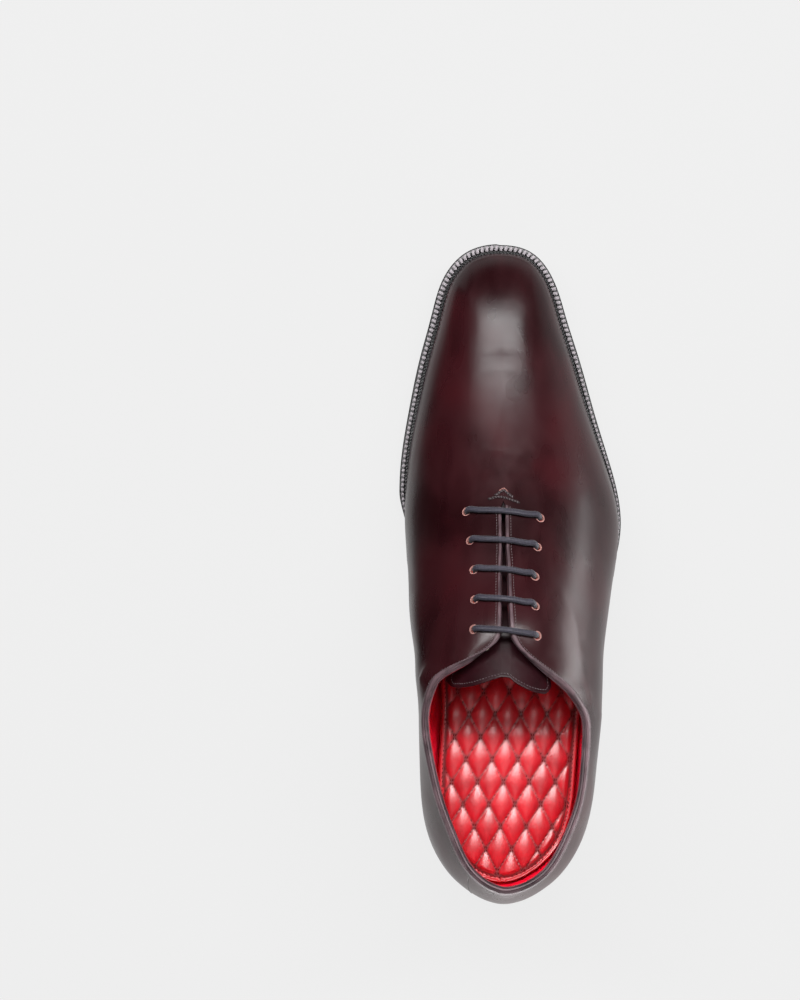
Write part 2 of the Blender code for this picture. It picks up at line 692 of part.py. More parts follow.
def make_upper(places):
    everything = (0, 2 * COLUMNS)
    upper = shell("upper", UPPER_AT, everything, (0, TOP_ROW), BURGUNDY)
    seam = 0.04
    split_outer = round(column_of(OUTER, VAMP_RIB)) + 2
    split_inner = round(column_of(INNER, VAMP_RIB)) - 2
    shell(
        "lining_vamp", LINING_AT, (split_outer + seam, split_inner - seam), (0, TOP_ROW), RED_LINING
    )
    quarters = shell(
        "lining_quarters", LINING_AT, (split_inner - 2 * COLUMNS + seam, split_outer - seam),
        (0, TOP_ROW - 0.05), RED_LINING,
    )
    puff_outer = round(column_of(OUTER, POLE_RIB - 2)) + 1
    puff_inner = 2 * COLUMNS - round(column_of(OUTER, POLE_RIB - 2)) - 1
    shell("toe_puff", STIFFENER_AT, (puff_outer, puff_inner), (0, TOP_ROW), CANVAS)
    around = 2 * COLUMNS
    counter = round(column_of(OUTER, 3))
    shell("heel_counter", STIFFENER_AT, (-counter, counter), (0, TOP_ROW - 2), CANVAS)
    throats = round(column_of(OUTER, THROAT_RIB)), round(column_of(INNER, THROAT_RIB))
    rows = (0, TOP_ROW - 4)
    ends = (counter + 0.5, split_outer - 3)
    shell("side_stay_outer", STIFFENER_AT, ends, rows, CANVAS)
    ends = (split_inner + 3, around - counter - 0.5)
    shell("side_stay_inner", STIFFENER_AT, ends, rows, CANVAS)
    rows = (TOP_ROW - 3.2, TOP_ROW - 0.2)
    stays = [
        shell("facing_stay_outer", STIFFENER_AT, (throats[0] - 1, split_outer - 2), rows, CANVAS),
        shell("facing_stay_inner", STIFFENER_AT, (split_inner + 2, throats[1] + 1), rows, CANVAS),
    ]
    make_band(throats)
    holes, wide_holes = [], []
    for (side, row), (u, t) in places.items():
        label = f"{'outer' if side == OUTER else 'inner'}_{row + 1}"
        holes.append(cutter(f"lace_hole_{label}", frame_at(side, u, t, 0.6), 2.4, 3.4))
        wide = cutter(f"eyelet_seat_{label}", frame_at(side, u, t, 3.2), 3.0, 3.8)
        wide_holes.append(wide)
        make_eyelet(f"eyelet_{label}", frame_at(side, u, t, EYELET_DEPTH))
    cut(upper, holes)
    cut(quarters, wide_holes)
    for stay in stays:
        cut(stay, wide_holes)


def make_band(throats):
    """The burnished band along the top line, from one top corner of the lacing to the other."""
    depths = (-GAP - 1.0, -GAP - 0.2)
    columns = (throats[1] + 1 - 2 * COLUMNS, throats[0] - 1)
    shell("topline_band", depths, columns, (TOP_ROW - 0.35, TOP_ROW), EDGE_BAND)


def make_eyelet(name, frame):
    """A blind eyelet: a short barrel in the lining, with its flange on the foot's side."""
    barrel, bore, flange = 2.5, 1.9, 3.1
    length, lip = 2.9, 0.25
    profile = [(bore, 0.0), (barrel, 0.0), (barrel, -length + lip), (flange, -length + lip),
               (flange, -length), (bore, -length)]
    bm = bmesh.new()
    ring = [bm.verts.new((x, 0.0, z)) for x, z in profile]
    edges = [bm.edges.new((ring[k], ring[(k + 1) % len(ring)])) for k in range(len(ring))]
    bmesh.ops.spin(
        bm, geom=ring + edges, cent=(0, 0, 0), axis=(0, 0, 1), angle=math.tau, steps=8,
        use_merge=True,
    )
    bmesh.ops.transform(bm, matrix=frame, verts=bm.verts)
    return finish_bmesh(name, bm, BRASS)


# ---------------------------------------------------------------- tongue
TONGUE_DEPTH = 8.6             # the tongue's face lies this far under the outside of the upper
TONGUE_THICK = (1.1, 0.9)      # face and lining
TONGUE_ROOT = 187.0
TONGUE_WING = 99.5             # its two rear corners
TONGUE_DIP = 5.0               # how far the rear edge is hollowed between them
THROAT_SEAT = 122.0            # the tongue lies against the facings as far back as this
INSTEP_CLIMB = 0.45


def surface_point(x, y, depth):
    """A point over or under the lacing, also where the slit has no leather."""
    if abs(x) < 3.0:
        inner, outer = (surface_point(side * 3.0, y, depth) for side in (INNER, OUTER))
        middle = (inner + outer) / 2
        return Vector((x, middle.y, middle.z + 0.15))
    side = OUTER if x > 0 else INNER
    return Vector(on_lattice(depth, *lattice_place(side, *LAST[side].under(x, y))))


def tongue_point(x, y, depth):
    """The tongue follows the instep, and runs straight on where it stands out of the throat."""
    seated = max(y, THROAT_SEAT)
    place = surface_point(x, seated, depth)
    return place + Vector((0.0, y - seated, -INSTEP_CLIMB * (y - seated)))


def tongue_half_width(side, s):
    """From its middle to its edge, from the root (s = 0) to the winged end (s = 1)."""
    return 23.0 + (3.5 if side == OUTER else 9.0) * s**4


def tongue_layer(name, depth, thick, look):
    across, along = 8, 10
    bm = bmesh.new()
    bmesh.ops.create_grid(bm, x_segments=across, y_segments=along, size=0.5)
    places = {}
    for vert in bm.verts:
        f = 2.0 * vert.co.x
        s = 0.5 - vert.co.y
        rear = TONGUE_WING + TONGUE_DIP * (1.0 - f * f)
        x = f * tongue_half_width(OUTER if f > 0 else INNER, s)
        y = TONGUE_ROOT + (rear - TONGUE_ROOT) * s
        vert.co = tongue_point(x, y, depth)
        places[spot_of(vert)] = (x, y)
    made = bmesh.ops.extrude_face_region(bm, geom=bm.faces[:], use_keep_orig=True)
    fresh = [item for item in made["geom"] if isinstance(item, bmesh.types.BMVert)]
    for vert in fresh:
        vert.co = tongue_point(*places[spot_of(vert)], depth + thick)
    return finish_bmesh(name, bm, look)


def make_tongue():
    face, back = TONGUE_THICK
    pieces = [
        tongue_layer("tongue_face", TONGUE_DEPTH, face, DARK_CALF),
        tongue_layer("tongue_lining", TONGUE_DEPTH + face + GAP, back, RED_LINING),
    ]
    return pieces


# ---------------------------------------------------------------- lace
BAR_LIFT = LACE_RADIUS + 0.5
RUN_DEPTH = 6.6
BAR_BOW = 1.0


class Lace:
    """The lace's route, hole by hole, as it is threaded."""

    def __init__(self, places):
        self.places = places
        self.route = []

    def axis(self, side, row):
        frame = frame_at(side, *self.places[side, row], 0.0)
        return frame.to_translation(), frame.col[2].to_3d()

    def through(self, side, row, going_in, over, under):
        """Passes one hole; `over` and `under` point to where the lace comes from and goes to."""
        place, normal = self.axis(side, row)
        above = flat(over - place, normal)
        below = flat(under - place, normal)
        steps = [
            place + above * 2.2 + normal * BAR_LIFT,
            place + above * 0.9 + normal * (BAR_LIFT - 0.5),
            place - normal * 0.4,
            place - normal * 4.4,
            place + below * 1.1 - normal * (RUN_DEPTH - 0.35),
            place + below * 2.7 - normal * RUN_DEPTH,
        ]
        self.route += steps if going_in else steps[::-1]

    def bar(self, start, row):
        """Crosses the tongue on the outside, from one side's hole to the other's."""
        a, _ = self.axis(start, row)
        b, _ = self.axis(-start, row)
        for f in (0.17, 0.34, 0.5, 0.66, 0.83):
            plan = a.lerp(b, f)
            y = plan.y + BAR_BOW * math.sin(math.pi * f)
            self.route.append(surface_point(plan.x, y, -BAR_LIFT))

    def run(self, side, row_from, row_to, x):
        """Goes from one hole to another of the same side, under the lining."""
        a, _ = self.axis(side, row_from)
        b, _ = self.axis(side, row_to)
        count = abs(row_to - row_from)
        for k in range(1, count + 1):
            y = a.y + (b.y - a.y) * k / (count + 1)
            self.route.append(surface_point(side * x, y, RUN_DEPTH))


def flat(direction, normal):
    direction = direction - normal * direction.dot(normal)
    return direction.normalized()


def make_lace(places):
    """Five straight bars. One half makes bars 2 and 4, the other bars 3 and 5, and bar 1 joins them."""
    lace = Lace(places)
    spot = {key: lace.axis(*key)[0] for key in places}
    tail_a = [surface_point(OUTER * 20.5, y, RUN_DEPTH) for y in (172.0, 160.0, 148.0)]
    tail_b = [surface_point(INNER * 26.5, y, RUN_DEPTH) for y in (152.0, 141.0, 131.0)]
    lace.route += tail_a
    lace.through(OUTER, 3, False, spot[INNER, 3], tail_a[-1])
    lace.bar(OUTER, 3)
    lace.through(INNER, 3, True, spot[OUTER, 3], surface_point(INNER * 9.0, 142.0, RUN_DEPTH))
    lace.run(INNER, 3, 1, 8.2)
    lace.through(INNER, 1, False, spot[OUTER, 1], surface_point(INNER * 9.0, 156.0, RUN_DEPTH))
    lace.bar(INNER, 1)
    lace.through(OUTER, 1, True, spot[INNER, 1], spot[OUTER, 0])
    lace.through(OUTER, 0, False, spot[INNER, 0], spot[OUTER, 1])
    lace.bar(OUTER, 0)
    lace.through(INNER, 0, True, spot[OUTER, 0], surface_point(INNER * 21.0, 166.0, RUN_DEPTH))
    lace.run(INNER, 0, 2, 19.6)
    lace.through(INNER, 2, False, spot[OUTER, 2], surface_point(INNER * 21.0, 157.0, RUN_DEPTH))
    lace.bar(INNER, 2)
    lace.through(OUTER, 2, True, spot[INNER, 2], surface_point(OUTER * 9.0, 140.0, RUN_DEPTH))
    lace.run(OUTER, 2, 4, 8.2)
    lace.through(OUTER, 4, False, spot[INNER, 4], surface_point(OUTER * 9.0, 128.0, RUN_DEPTH))
    lace.bar(OUTER, 4)
    lace.through(INNER, 4, True, spot[OUTER, 4], tail_b[-1])
    lace.route += tail_b[::-1]
    tube("lace", lace.route, LACE_RADIUS, CORD)
    for name, end, before in (
        ("aglet_outer", lace.route[0], lace.route[1]),
        ("aglet_inner", lace.route[-1], lace.route[-2]),
    ):
        way = (end - before).normalized()
        tube(name, [end + way * GAP, end + way * 12.0], LACE_RADIUS - 0.2, CORD)


def make_bar_tack():
    """The stitched tack that stops the slit from tearing, a shallow arrow across its lower end."""
    corners = [(-5.6, 180.4), (-2.8, 182.0), (0.0, 183.4), (3.2, 181.4), (6.4, 179.4)]
    points = []
    for x, y in corners:
        side = OUTER if x >= 0 else INNER
        points.append(Vector(on_lattice(-0.9, *lattice_place(side, *LAST[side].under(x, y)))))
    tube("bar_tack", points, 0.5, THREAD)


# ---------------------------------------------------------------- the shoe's own frame
def place_in_metres(tongue):
    """Scales every piece to metres about the middle of the footprint, and hangs the tongue."""
    outer_edge = np.array(outline(welt_width))
    wall = np.concatenate([lattice(0.0)[:, 1:].reshape(-1, 3)[:, :2], outer_edge])
    middle = (wall.min(axis=0) + wall.max(axis=0)) / 2
    to_metres = Matrix.Scale(MM, 4) @ Matrix.Translation((-middle[0], -middle[1], 0.0))
    for collection in (PARTS, CUTTERS):
        for obj in collection.objects:
            obj.data.transform(to_metres)
    hinge = bpy.data.objects.new("tongue_hinge", None)
    hinge.location = to_metres @ Vector(TONGUE_HINGE)
    PARTS.objects.link(hinge)
    for piece in tongue:
        piece.data.transform(Matrix.Translation(-hinge.location))
        piece.parent = hinge


def main():
    places = eyelet_places()
    make_sole(make_heel())
    make_upper(places)
    tongue = make_tongue()
    make_lace(places)
    make_bar_tack()
    place_in_metres(tongue)


clear_scene()
PARTS = new_collection("oxford_shoe", hidden=False)
CUTTERS = new_collection("cutters", hidden=True)
main()
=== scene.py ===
"""The looks of a leather oxford shoe, built as a Blender add-on and run as a script.

Pieces are worked out in millimetres in the shoemaker's frame: +Y towards the toe, +X towards the
little toe, +Z up, with Y = 0 at the back of the heel and X = 0 on the line from back seam to toe.
A finished piece is moved to the frame's metres.
"""

import json
import math

import bmesh
import bpy
import numpy as np
from mathutils import Matrix, Vector
from mathutils.bvhtree import BVHTree


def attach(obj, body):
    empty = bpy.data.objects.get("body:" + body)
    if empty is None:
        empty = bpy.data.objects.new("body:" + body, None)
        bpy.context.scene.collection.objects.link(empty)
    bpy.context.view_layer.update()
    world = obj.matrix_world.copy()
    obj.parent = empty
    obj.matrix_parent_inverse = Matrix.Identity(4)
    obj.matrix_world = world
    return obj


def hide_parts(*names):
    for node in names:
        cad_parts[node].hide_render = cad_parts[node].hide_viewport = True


bl_info = {
    "name": "Oxford shoe",
    "version": (1, 0, 0),
    "blender": (4, 5, 0),
    "location": "3D View > Sidebar > Oxford shoe",
    "description": "Builds the leather, stitching, quilting, lace and stage of an oxford shoe",
    "category": "Object",
}

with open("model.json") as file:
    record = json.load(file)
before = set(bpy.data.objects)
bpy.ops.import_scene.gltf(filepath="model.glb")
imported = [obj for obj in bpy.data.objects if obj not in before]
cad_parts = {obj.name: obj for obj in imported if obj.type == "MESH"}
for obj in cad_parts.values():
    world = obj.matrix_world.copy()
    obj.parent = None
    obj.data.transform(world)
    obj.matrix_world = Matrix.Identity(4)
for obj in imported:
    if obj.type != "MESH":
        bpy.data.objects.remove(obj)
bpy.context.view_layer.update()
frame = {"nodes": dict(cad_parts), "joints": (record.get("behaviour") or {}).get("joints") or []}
MM = 0.001

# ---------------------------------------------------------------- sizes of the shoe, millimetres
HEEL_HEIGHT = 24.0
HEEL_BREAST = 70.0
BALL_FLAT = (176.0, 214.0)
TOE_SPRING = 9.0
TOE_END = 298.0
MARGIN = 9.0                   # width of the upper that is turned in under the insole
FEATHER_AT = 8.6
SOCK_AT = 17.8
UPPER_AT = (0.0, 1.3)
LINING_AT = (2.9, 3.8)

LACE_RADIUS = 1.4
EYELET_SPAN = (16.4, 14.8, 13.4, 13.2, 13.8)
FIRST_EYELET = 173.2
EYELET_PITCH = 12.8
EYELET_SKEW = 1.4
HOLE_RADIUS = 1.9

OUTER, INNER = 1, -1           # little-toe side and arch side
HINGE_IN_SHOE = Vector((0.0, 190.0, 50.0))
HINGE_IN_FRAME = Vector(frame["joints"][0]["pos_m"])
TO_FRAME = Matrix.Translation(HINGE_IN_FRAME) @ Matrix.Scale(MM, 4) @ Matrix.Translation(-HINGE_IN_SHOE)
TO_SHOE = TO_FRAME.inverted()

# Ribs of the upper, from the back seam to the tip of the toe. Each is a Bezier curve that starts
# at the feather line and ends at the top line, the lacing edge or the ridge of the vamp:
# (feather x, y), (top x, y, z), swell and rise of the lower handle, reach and drop of the upper
# handle, and how steeply the ridge climbs there.
BACK_RIB = ((0.0, 4.5), (0.3, 8.4, 94.0), 9.0, 22.0, 9.0, 22.0, 0.0)
TOE_POLE = (0.0, 261.0, 41.0)
TIP_RIB = ((0.0, 292.8), TOE_POLE, 2.0, 12.0, 15.0, 0.0, -0.15)
RIBS = {
    OUTER: [
        BACK_RIB,
        ((17.2, 10.6), (16.1, 14.5, 93.0), 7.6, 22.0, 8.0, 22.0, 0.0),
        ((32.0, 30.0), (27.5, 31.1, 90.0), 8.0, 21.0, 8.0, 21.0, 0.0),
        ((36.0, 55.0), (35.0, 54.0, 86.0), 8.5, 20.0, 7.0, 20.0, 0.0),
        ((38.0, 85.0), (36.8, 80.5, 83.5), 9.5, 20.0, 9.0, 19.0, 0.0),
        ((41.2, 106.0), (27.6, 98.3, 93.0), 13.2, 24.0, 11.0, 13.0, -0.3),
        ((44.8, 120.0), (2.6, 119.0, 100.0), 12.0, 28.0, 26.0, 5.0, -0.55),
        ((50.6, 146.0), (1.7, 149.0, 84.0), 9.0, 25.0, 28.0, 3.0, -0.56),
        ((53.9, 170.0), (0.0, 180.0, 67.0), 6.0, 20.0, 28.0, 0.0, -0.50),
        ((47.9, 197.0), (0.0, 203.0, 56.5), 3.5, 18.0, 25.0, 0.0, -0.38),
        ((40.4, 219.0), (0.0, 225.0, 49.0), 3.0, 16.0, 22.0, 0.0, -0.28),
        ((32.3, 245.5), (0.0, 248.0, 43.6), 2.4, 14.5, 17.5, 0.0, -0.18),
        ((26.5, 263.5), TOE_POLE, 2.0, 13.5, 15.0, 0.0, -0.15),
        ((20.2, 281.0), TOE_POLE, 2.0, 13.0, 16.0, 0.0, -0.15),
        ((11.8, 290.4), TOE_POLE, 2.0, 12.0, 16.0, 0.0, -0.15),
        TIP_RIB,
    ],
    INNER: [
        BACK_RIB,
        ((-16.2, 10.2), (-14.6, 16.0, 93.0), 7.8, 22.0, 8.0, 22.0, 0.0),
        ((-29.0, 28.0), (-24.2, 34.2, 91.0), 8.0, 21.0, 8.0, 21.0, 0.0),
        ((-31.5, 52.0), (-31.8, 57.0, 88.0), 8.0, 20.0, 6.0, 20.0, 0.0),
        ((-29.5, 85.0), (-36.0, 84.0, 85.5), 9.0, 20.0, 3.0, 20.0, 0.0),
        ((-30.9, 108.0), (-29.8, 103.2, 93.5), 14.5, 25.0, 12.0, 13.0, -0.3),
        ((-35.5, 122.0), (-2.6, 119.0, 100.0), 16.5, 28.0, 28.0, 5.0, -0.55),
        ((-39.5, 147.0), (-1.7, 149.0, 84.0), 11.0, 26.0, 28.0, 3.0, -0.56),
        ((-41.9, 171.0), (0.0, 180.0, 67.0), 9.0, 20.0, 26.0, 0.0, -0.50),
        ((-41.6, 197.0), (0.0, 203.0, 56.5), 3.5, 17.0, 22.0, 0.0, -0.38),
        ((-37.9, 219.0), (0.0, 225.0, 49.0), 3.0, 16.0, 20.0, 0.0, -0.28),
        ((-31.8, 246.0), (0.0, 248.0, 43.6), 2.4, 14.5, 17.0, 0.0, -0.18),
        ((-27.0, 263.5), TOE_POLE, 2.0, 13.5, 15.0, 0.0, -0.15),
        ((-21.2, 281.0), TOE_POLE, 2.0, 13.0, 16.0, 0.0, -0.15),
        ((-12.6, 290.0), TOE_POLE, 2.0, 12.0, 16.0, 0.0, -0.15),
        TIP_RIB,
    ],
}
EDGE_SOFTENING = 0.014
BACK_ROUND = 1.35               # how full the top line is behind the heel
QUARTER_RIB, THROAT_RIB, FACING_RIB, VAMP_RIB, POLE_RIB = 5, 6, 7, 8, 12

COLUMNS = 36                   # ribs of the CAD wall on each side
TURN_WEIGHT = 35.0             # millimetres of travel that one radian of turn counts for
FINE = 6                       # fine ribs for each of those
SLIT_HALF = 1.15               # half the slit's width where it is narrowest
SLIT_END = 179.4               # Y of the slit's rounded lower end


def smoothstep(x):
    x = np.clip(x, 0.0, 1.0)
    return x * x * (3.0 - 2.0 * x)


# ---------------------------------------------------------------- curves through given points
def clamped_spline(knots, values, start, end):
    """Second-order smooth curve through the values, with given slopes at both ends."""
    knots = np.asarray(knots, float)
    values = np.asarray(values, float)
    count = len(knots)
    step = np.diff(knots)
    matrix = np.zeros((count, count))
    right = np.zeros((count, values.shape[1]))
    matrix[0, 0] = matrix[-1, -1] = 1.0
    right[0], right[-1] = start, end
    for i in range(1, count - 1):
        matrix[i, i - 1] = step[i]
        matrix[i, i] = 2.0 * (step[i - 1] + step[i])
        matrix[i, i + 1] = step[i - 1]
        rise_before = (values[i] - values[i - 1]) / step[i - 1]
        rise_after = (values[i + 1] - values[i]) / step[i]
        right[i] = 3.0 * (step[i] * rise_before + step[i - 1] * rise_after)
    slopes = np.linalg.solve(matrix, right)
    return lambda u: hermite(knots, values, slopes, u)


def gentle_spline(knots, values, start=0.0):
    """Smooth curve through the values, with a given slope at its start, that never overshoots."""
    knots = np.asarray(knots, float)
    values = np.asarray(values, float)
    step = np.diff(knots)[:, None]
    rise = np.diff(values, axis=0) / step
    slopes = np.zeros_like(values)
    slopes[0] = start
    for i in range(1, len(knots) - 1):
        before, after = rise[i - 1], rise[i]
        weight_a = 2.0 * step[i] + step[i - 1]
        weight_b = step[i] + 2.0 * step[i - 1]
        same = before * after > 0
        low = np.where(same, before, 1.0)
        high = np.where(same, after, 1.0)
        mean = (weight_a + weight_b) / (weight_a / low + weight_b / high)
        slopes[i] = np.where(same, mean, 0.0)
    return lambda u: hermite(knots, values, slopes, u)


def hermite(knots, values, slopes, u):
    u = np.atleast_1d(np.asarray(u, float))
    i = np.clip(np.searchsorted(knots, u, side="right") - 1, 0, len(knots) - 2)
    step = (knots[i + 1] - knots[i])[:, None]
    s = (u - knots[i])[:, None] / step
    from_start = (2 * s**3 - 3 * s**2 + 1) * values[i] + (s**3 - 2 * s**2 + s) * step * slopes[i]
    to_end = (3 * s**2 - 2 * s**3) * values[i + 1] + (s**3 - s**2) * step * slopes[i + 1]
    return from_start + to_end


def softened(curve, reach):
    """The same curve with its tight bends eased, and its two ends left where they are."""
    weights = ((-1.0, 0.16), (-0.5, 0.2), (0.0, 0.28), (0.5, 0.2), (1.0, 0.16))

    def eased(u):
        u = np.atleast_1d(np.asarray(u, float))
        room = np.minimum(reach, np.minimum(np.clip(u, 0.0, 1.0), np.clip(1.0 - u, 0.0, 1.0)))
        return sum(weight * curve(u + offset * room) for offset, weight in weights)

    return eased


# ---------------------------------------------------------------- the last that the shoe is made on
def sole_height(y):
    """Underside of the outsole above the floor: heel seat, waist, flat tread, toe spring."""
    y = np.asarray(y, float)
    waist = smoothstep((y - HEEL_BREAST - 3.0) / (BALL_FLAT[0] - HEEL_BREAST - 3.0))
    spring = np.clip((y - BALL_FLAT[1]) / (TOE_END - BALL_FLAT[1]), 0.0, 1.5)
    return HEEL_HEIGHT * (1.0 - waist) + TOE_SPRING * spring**2


class HalfLast:
    """One side of the upper's outside surface, as a family of ribs."""

    def __init__(self, side):
        ribs = RIBS[side]
        feather = np.array([rib[0] for rib in ribs])
        length = np.concatenate([[0.0], np.cumsum(np.linalg.norm(np.diff(feather, axis=0), axis=1))])
        self.side = side
        self.knots = length / length[-1]
        start = (side * length[-1], 0.0)
        end = (-side * length[-1], 0.0)
        self.feather = clamped_spline(self.knots, feather, start, end)
        across = (ribs[1][1][0] - ribs[0][1][0]) / self.knots[1]
        ends = gentle_spline(self.knots, [rib[1] for rib in ribs], (BACK_ROUND * across, 0.0, 0.0))
        self.top = softened(ends, EDGE_SOFTENING)
        self.shape = gentle_spline(self.knots, [rib[2:] for rib in ribs])
        self.fine_u = np.linspace(0.0, 1.0, 801)
        self.fine_column = self.spread()

    def spread(self):
        """Shares the columns out by how far the ribs' ends travel and the edge turns."""
        feather, top = self.feather(self.fine_u), self.top(self.fine_u)
        outward = self.outward(self.fine_u)
        travel = np.hypot(
            np.linalg.norm(np.diff(feather, axis=0), axis=1),
            np.linalg.norm(np.diff(top, axis=0), axis=1),
        )
        turn = np.linalg.norm(np.diff(outward, axis=0), axis=1)
        total = np.concatenate([[0.0], np.cumsum(travel + TURN_WEIGHT * turn)])
        return total * COLUMNS / total[-1]

    def u_at(self, column):
        return float(np.interp(column, self.fine_column, self.fine_u))

    def column_at(self, u):
        column = float(np.interp(u, self.fine_u, self.fine_column))
        return column if self.side == OUTER else 2 * COLUMNS - column

    def outward(self, u):
        """Unit vector in plan, square to the feather line and away from the foot."""
        small = 1e-4
        low = np.clip(u - small, 0.0, 1.0)
        high = np.clip(u + small, 0.0, 1.0)
        along = self.feather(high) - self.feather(low)
        along /= np.linalg.norm(along, axis=1)[:, None]
        return self.side * np.stack([along[:, 1], -along[:, 0]], axis=1)

    def control(self, u):
        feather, top, shape = self.feather(u), self.top(u), self.shape(u)
        outward = self.outward(u)
        span = feather - top[:, :2]
        span /= np.linalg.norm(span, axis=1)[:, None]
        blend = (u - self.knots[THROAT_RIB - 1]) / (self.knots[VAMP_RIB] - self.knots[THROAT_RIB - 1])
        blend = np.clip(blend, 0.0, 1.0)[:, None]
        across = (1.0 - blend) * outward + blend * span
        across /= np.linalg.norm(across, axis=1)[:, None]
        swell, rise, reach, drop, climb = (shape[:, k] for k in range(5))
        start = np.column_stack([feather, sole_height(feather[:, 1]) + FEATHER_AT])
        lower = start + np.column_stack([outward * swell[:, None], rise])
        fall = across[:, 1] * reach * climb - drop
        upper = top + np.column_stack([across * reach[:, None], fall])
        return start, lower, upper, top

    def point(self, u, t):
        u = np.atleast_1d(np.asarray(u, float))
        start, lower, upper, top = self.control(u)
        t = np.broadcast_to(np.asarray(t, float), u.shape)[:, None]
        s = 1.0 - t
        return s**3 * start + 3 * s**2 * t * lower + 3 * s * t**2 * upper + t**3 * top

    def normal(self, u, t):
        t = np.clip(t, 0.02, 0.97)
        small = 1e-3
        low, high = np.clip(u - small, 0, 1), np.clip(u + small, 0, 1)
        along = self.point(high, t) - self.point(low, t)
        up = self.point(u, t + 0.01) - self.point(u, t - 0.01)
        normal = self.side * np.cross(along, up)
        on_ridge = (t > 0.96) & (u > self.knots[VAMP_RIB] - 1e-6)
        normal[(u < 1e-6) | (u > 1.0 - 1e-6) | on_ridge, 0] = 0.0
        normal[(t > 0.96) & (u > self.knots[POLE_RIB] - 1e-6)] = (0.0, 0.15, 1.0)
        return normal / np.linalg.norm(normal, axis=1)[:, None]

    def trim(self, u):
        """How far the lacing edge is cut back from the ribs' ends, which gives the slit its width."""
        top = self.top(u)
        opened = smoothstep((SLIT_END - top[:, 1]) / 2.4)
        inside = (u > self.knots[THROAT_RIB]) & (u < self.knots[VAMP_RIB])
        return np.where(inside, np.maximum(SLIT_HALF - np.abs(top[:, 0]), 0.0) * opened, 0.0)

    def lengths(self, u):
        """Each rib's length from its top down, at falling values of t."""
        ts = np.linspace(1.0, 0.0, 161)
        ribs = self.point(np.repeat(u, len(ts)), np.tile(ts, len(u))).reshape(len(u), len(ts), 3)
        steps = np.linalg.norm(np.diff(ribs, axis=1), axis=2)
        return ts, np.concatenate([np.zeros((len(u), 1)), np.cumsum(steps, axis=1)], axis=1)

    def wall(self, u, below, depth):
        """Points a given length below the leather's edge, and a given depth under the outside."""
        ts, travelled = self.lengths(u)
        reach = below + self.trim(u)[:, None]
        t = np.array([np.interp(row, length, ts) for row, length in zip(reach, travelled)]).ravel()
        wide_u = np.repeat(u, below.shape[1])
        points = self.point(wide_u, t) - depth.ravel()[:, None] * self.normal(wide_u, t)
        beyond = -np.minimum(reach, 0.0).ravel()[:, None]
        rising = self.point(wide_u, 1.0) - self.point(wide_u, 0.97)
        rising /= np.linalg.norm(rising, axis=1)[:, None]
        return (points + rising * beyond).reshape(*below.shape, 3)


LAST = {side: HalfLast(side) for side in (OUTER, INNER)}


def half_and_u(column):
    """Columns run from the back seam round the outer side to the toe and back along the inner side."""
    column = column % (2 * COLUMNS)
    if column <= COLUMNS:
        return OUTER, LAST[OUTER].u_at(column)
    return INNER, LAST[INNER].u_at(2 * COLUMNS - column)


def ribs_between(first, last, fine=FINE):
    """(side, u) of evenly spread ribs from one column to another."""
    count = round((last - first) * fine)
    return [half_and_u(first + (last - first) * k / count) for k in range(count + 1)]


def column_of(side, rib):
    """The column, whole or not, at one of the listed ribs."""
    return LAST[side].column_at(LAST[side].knots[rib])


def wall(places, below, depth):
    """Points of the wall, one row of them for each (side, u)."""
    below = np.broadcast_to(below, (len(places), np.shape(below)[-1]))
    depth = np.broadcast_to(depth, below.shape)
    points = np.zeros((*below.shape, 3))
    for side in (OUTER, INNER):
        mine = [k for k, place in enumerate(places) if place[0] == side]
        if mine:
            u = np.array([places[k][1] for k in mine])
            points[mine] = LAST[side].wall(u, below[mine], depth[mine])
    return points


def rib_length(places):
    """Length of each rib below the leather's edge."""
    found = []
    for side, u in places:
        u = np.array([u])
        found.append(LAST[side].lengths(u)[1][0, -1] - LAST[side].trim(u)[0])
    return np.array(found)


def turned_in(places, inward, depth):
    """The row of points along the feather line, or along the edge of the turned-in margin."""
    points = []
    for side, u in places:
        half = LAST[side]
        x, y = half.feather(u)[0] - half.outward(np.array([u]))[0] * inward
        points.append((x, y, float(sole_height(y)) + FEATHER_AT + depth))
    return np.array(points)


def topline_share(places):
    """1 along the top line, 0 along the lacing edges, and between the two at the throat's corners."""
    share = []
    for side, u in places:
        knots = LAST[side].knots
        end = (knots[THROAT_RIB] + knots[FACING_RIB]) / 2
        share.append(1.0 - float(smoothstep((u - knots[QUARTER_RIB]) / (end - knots[QUARTER_RIB]))))
    return np.array(share)[:, None]


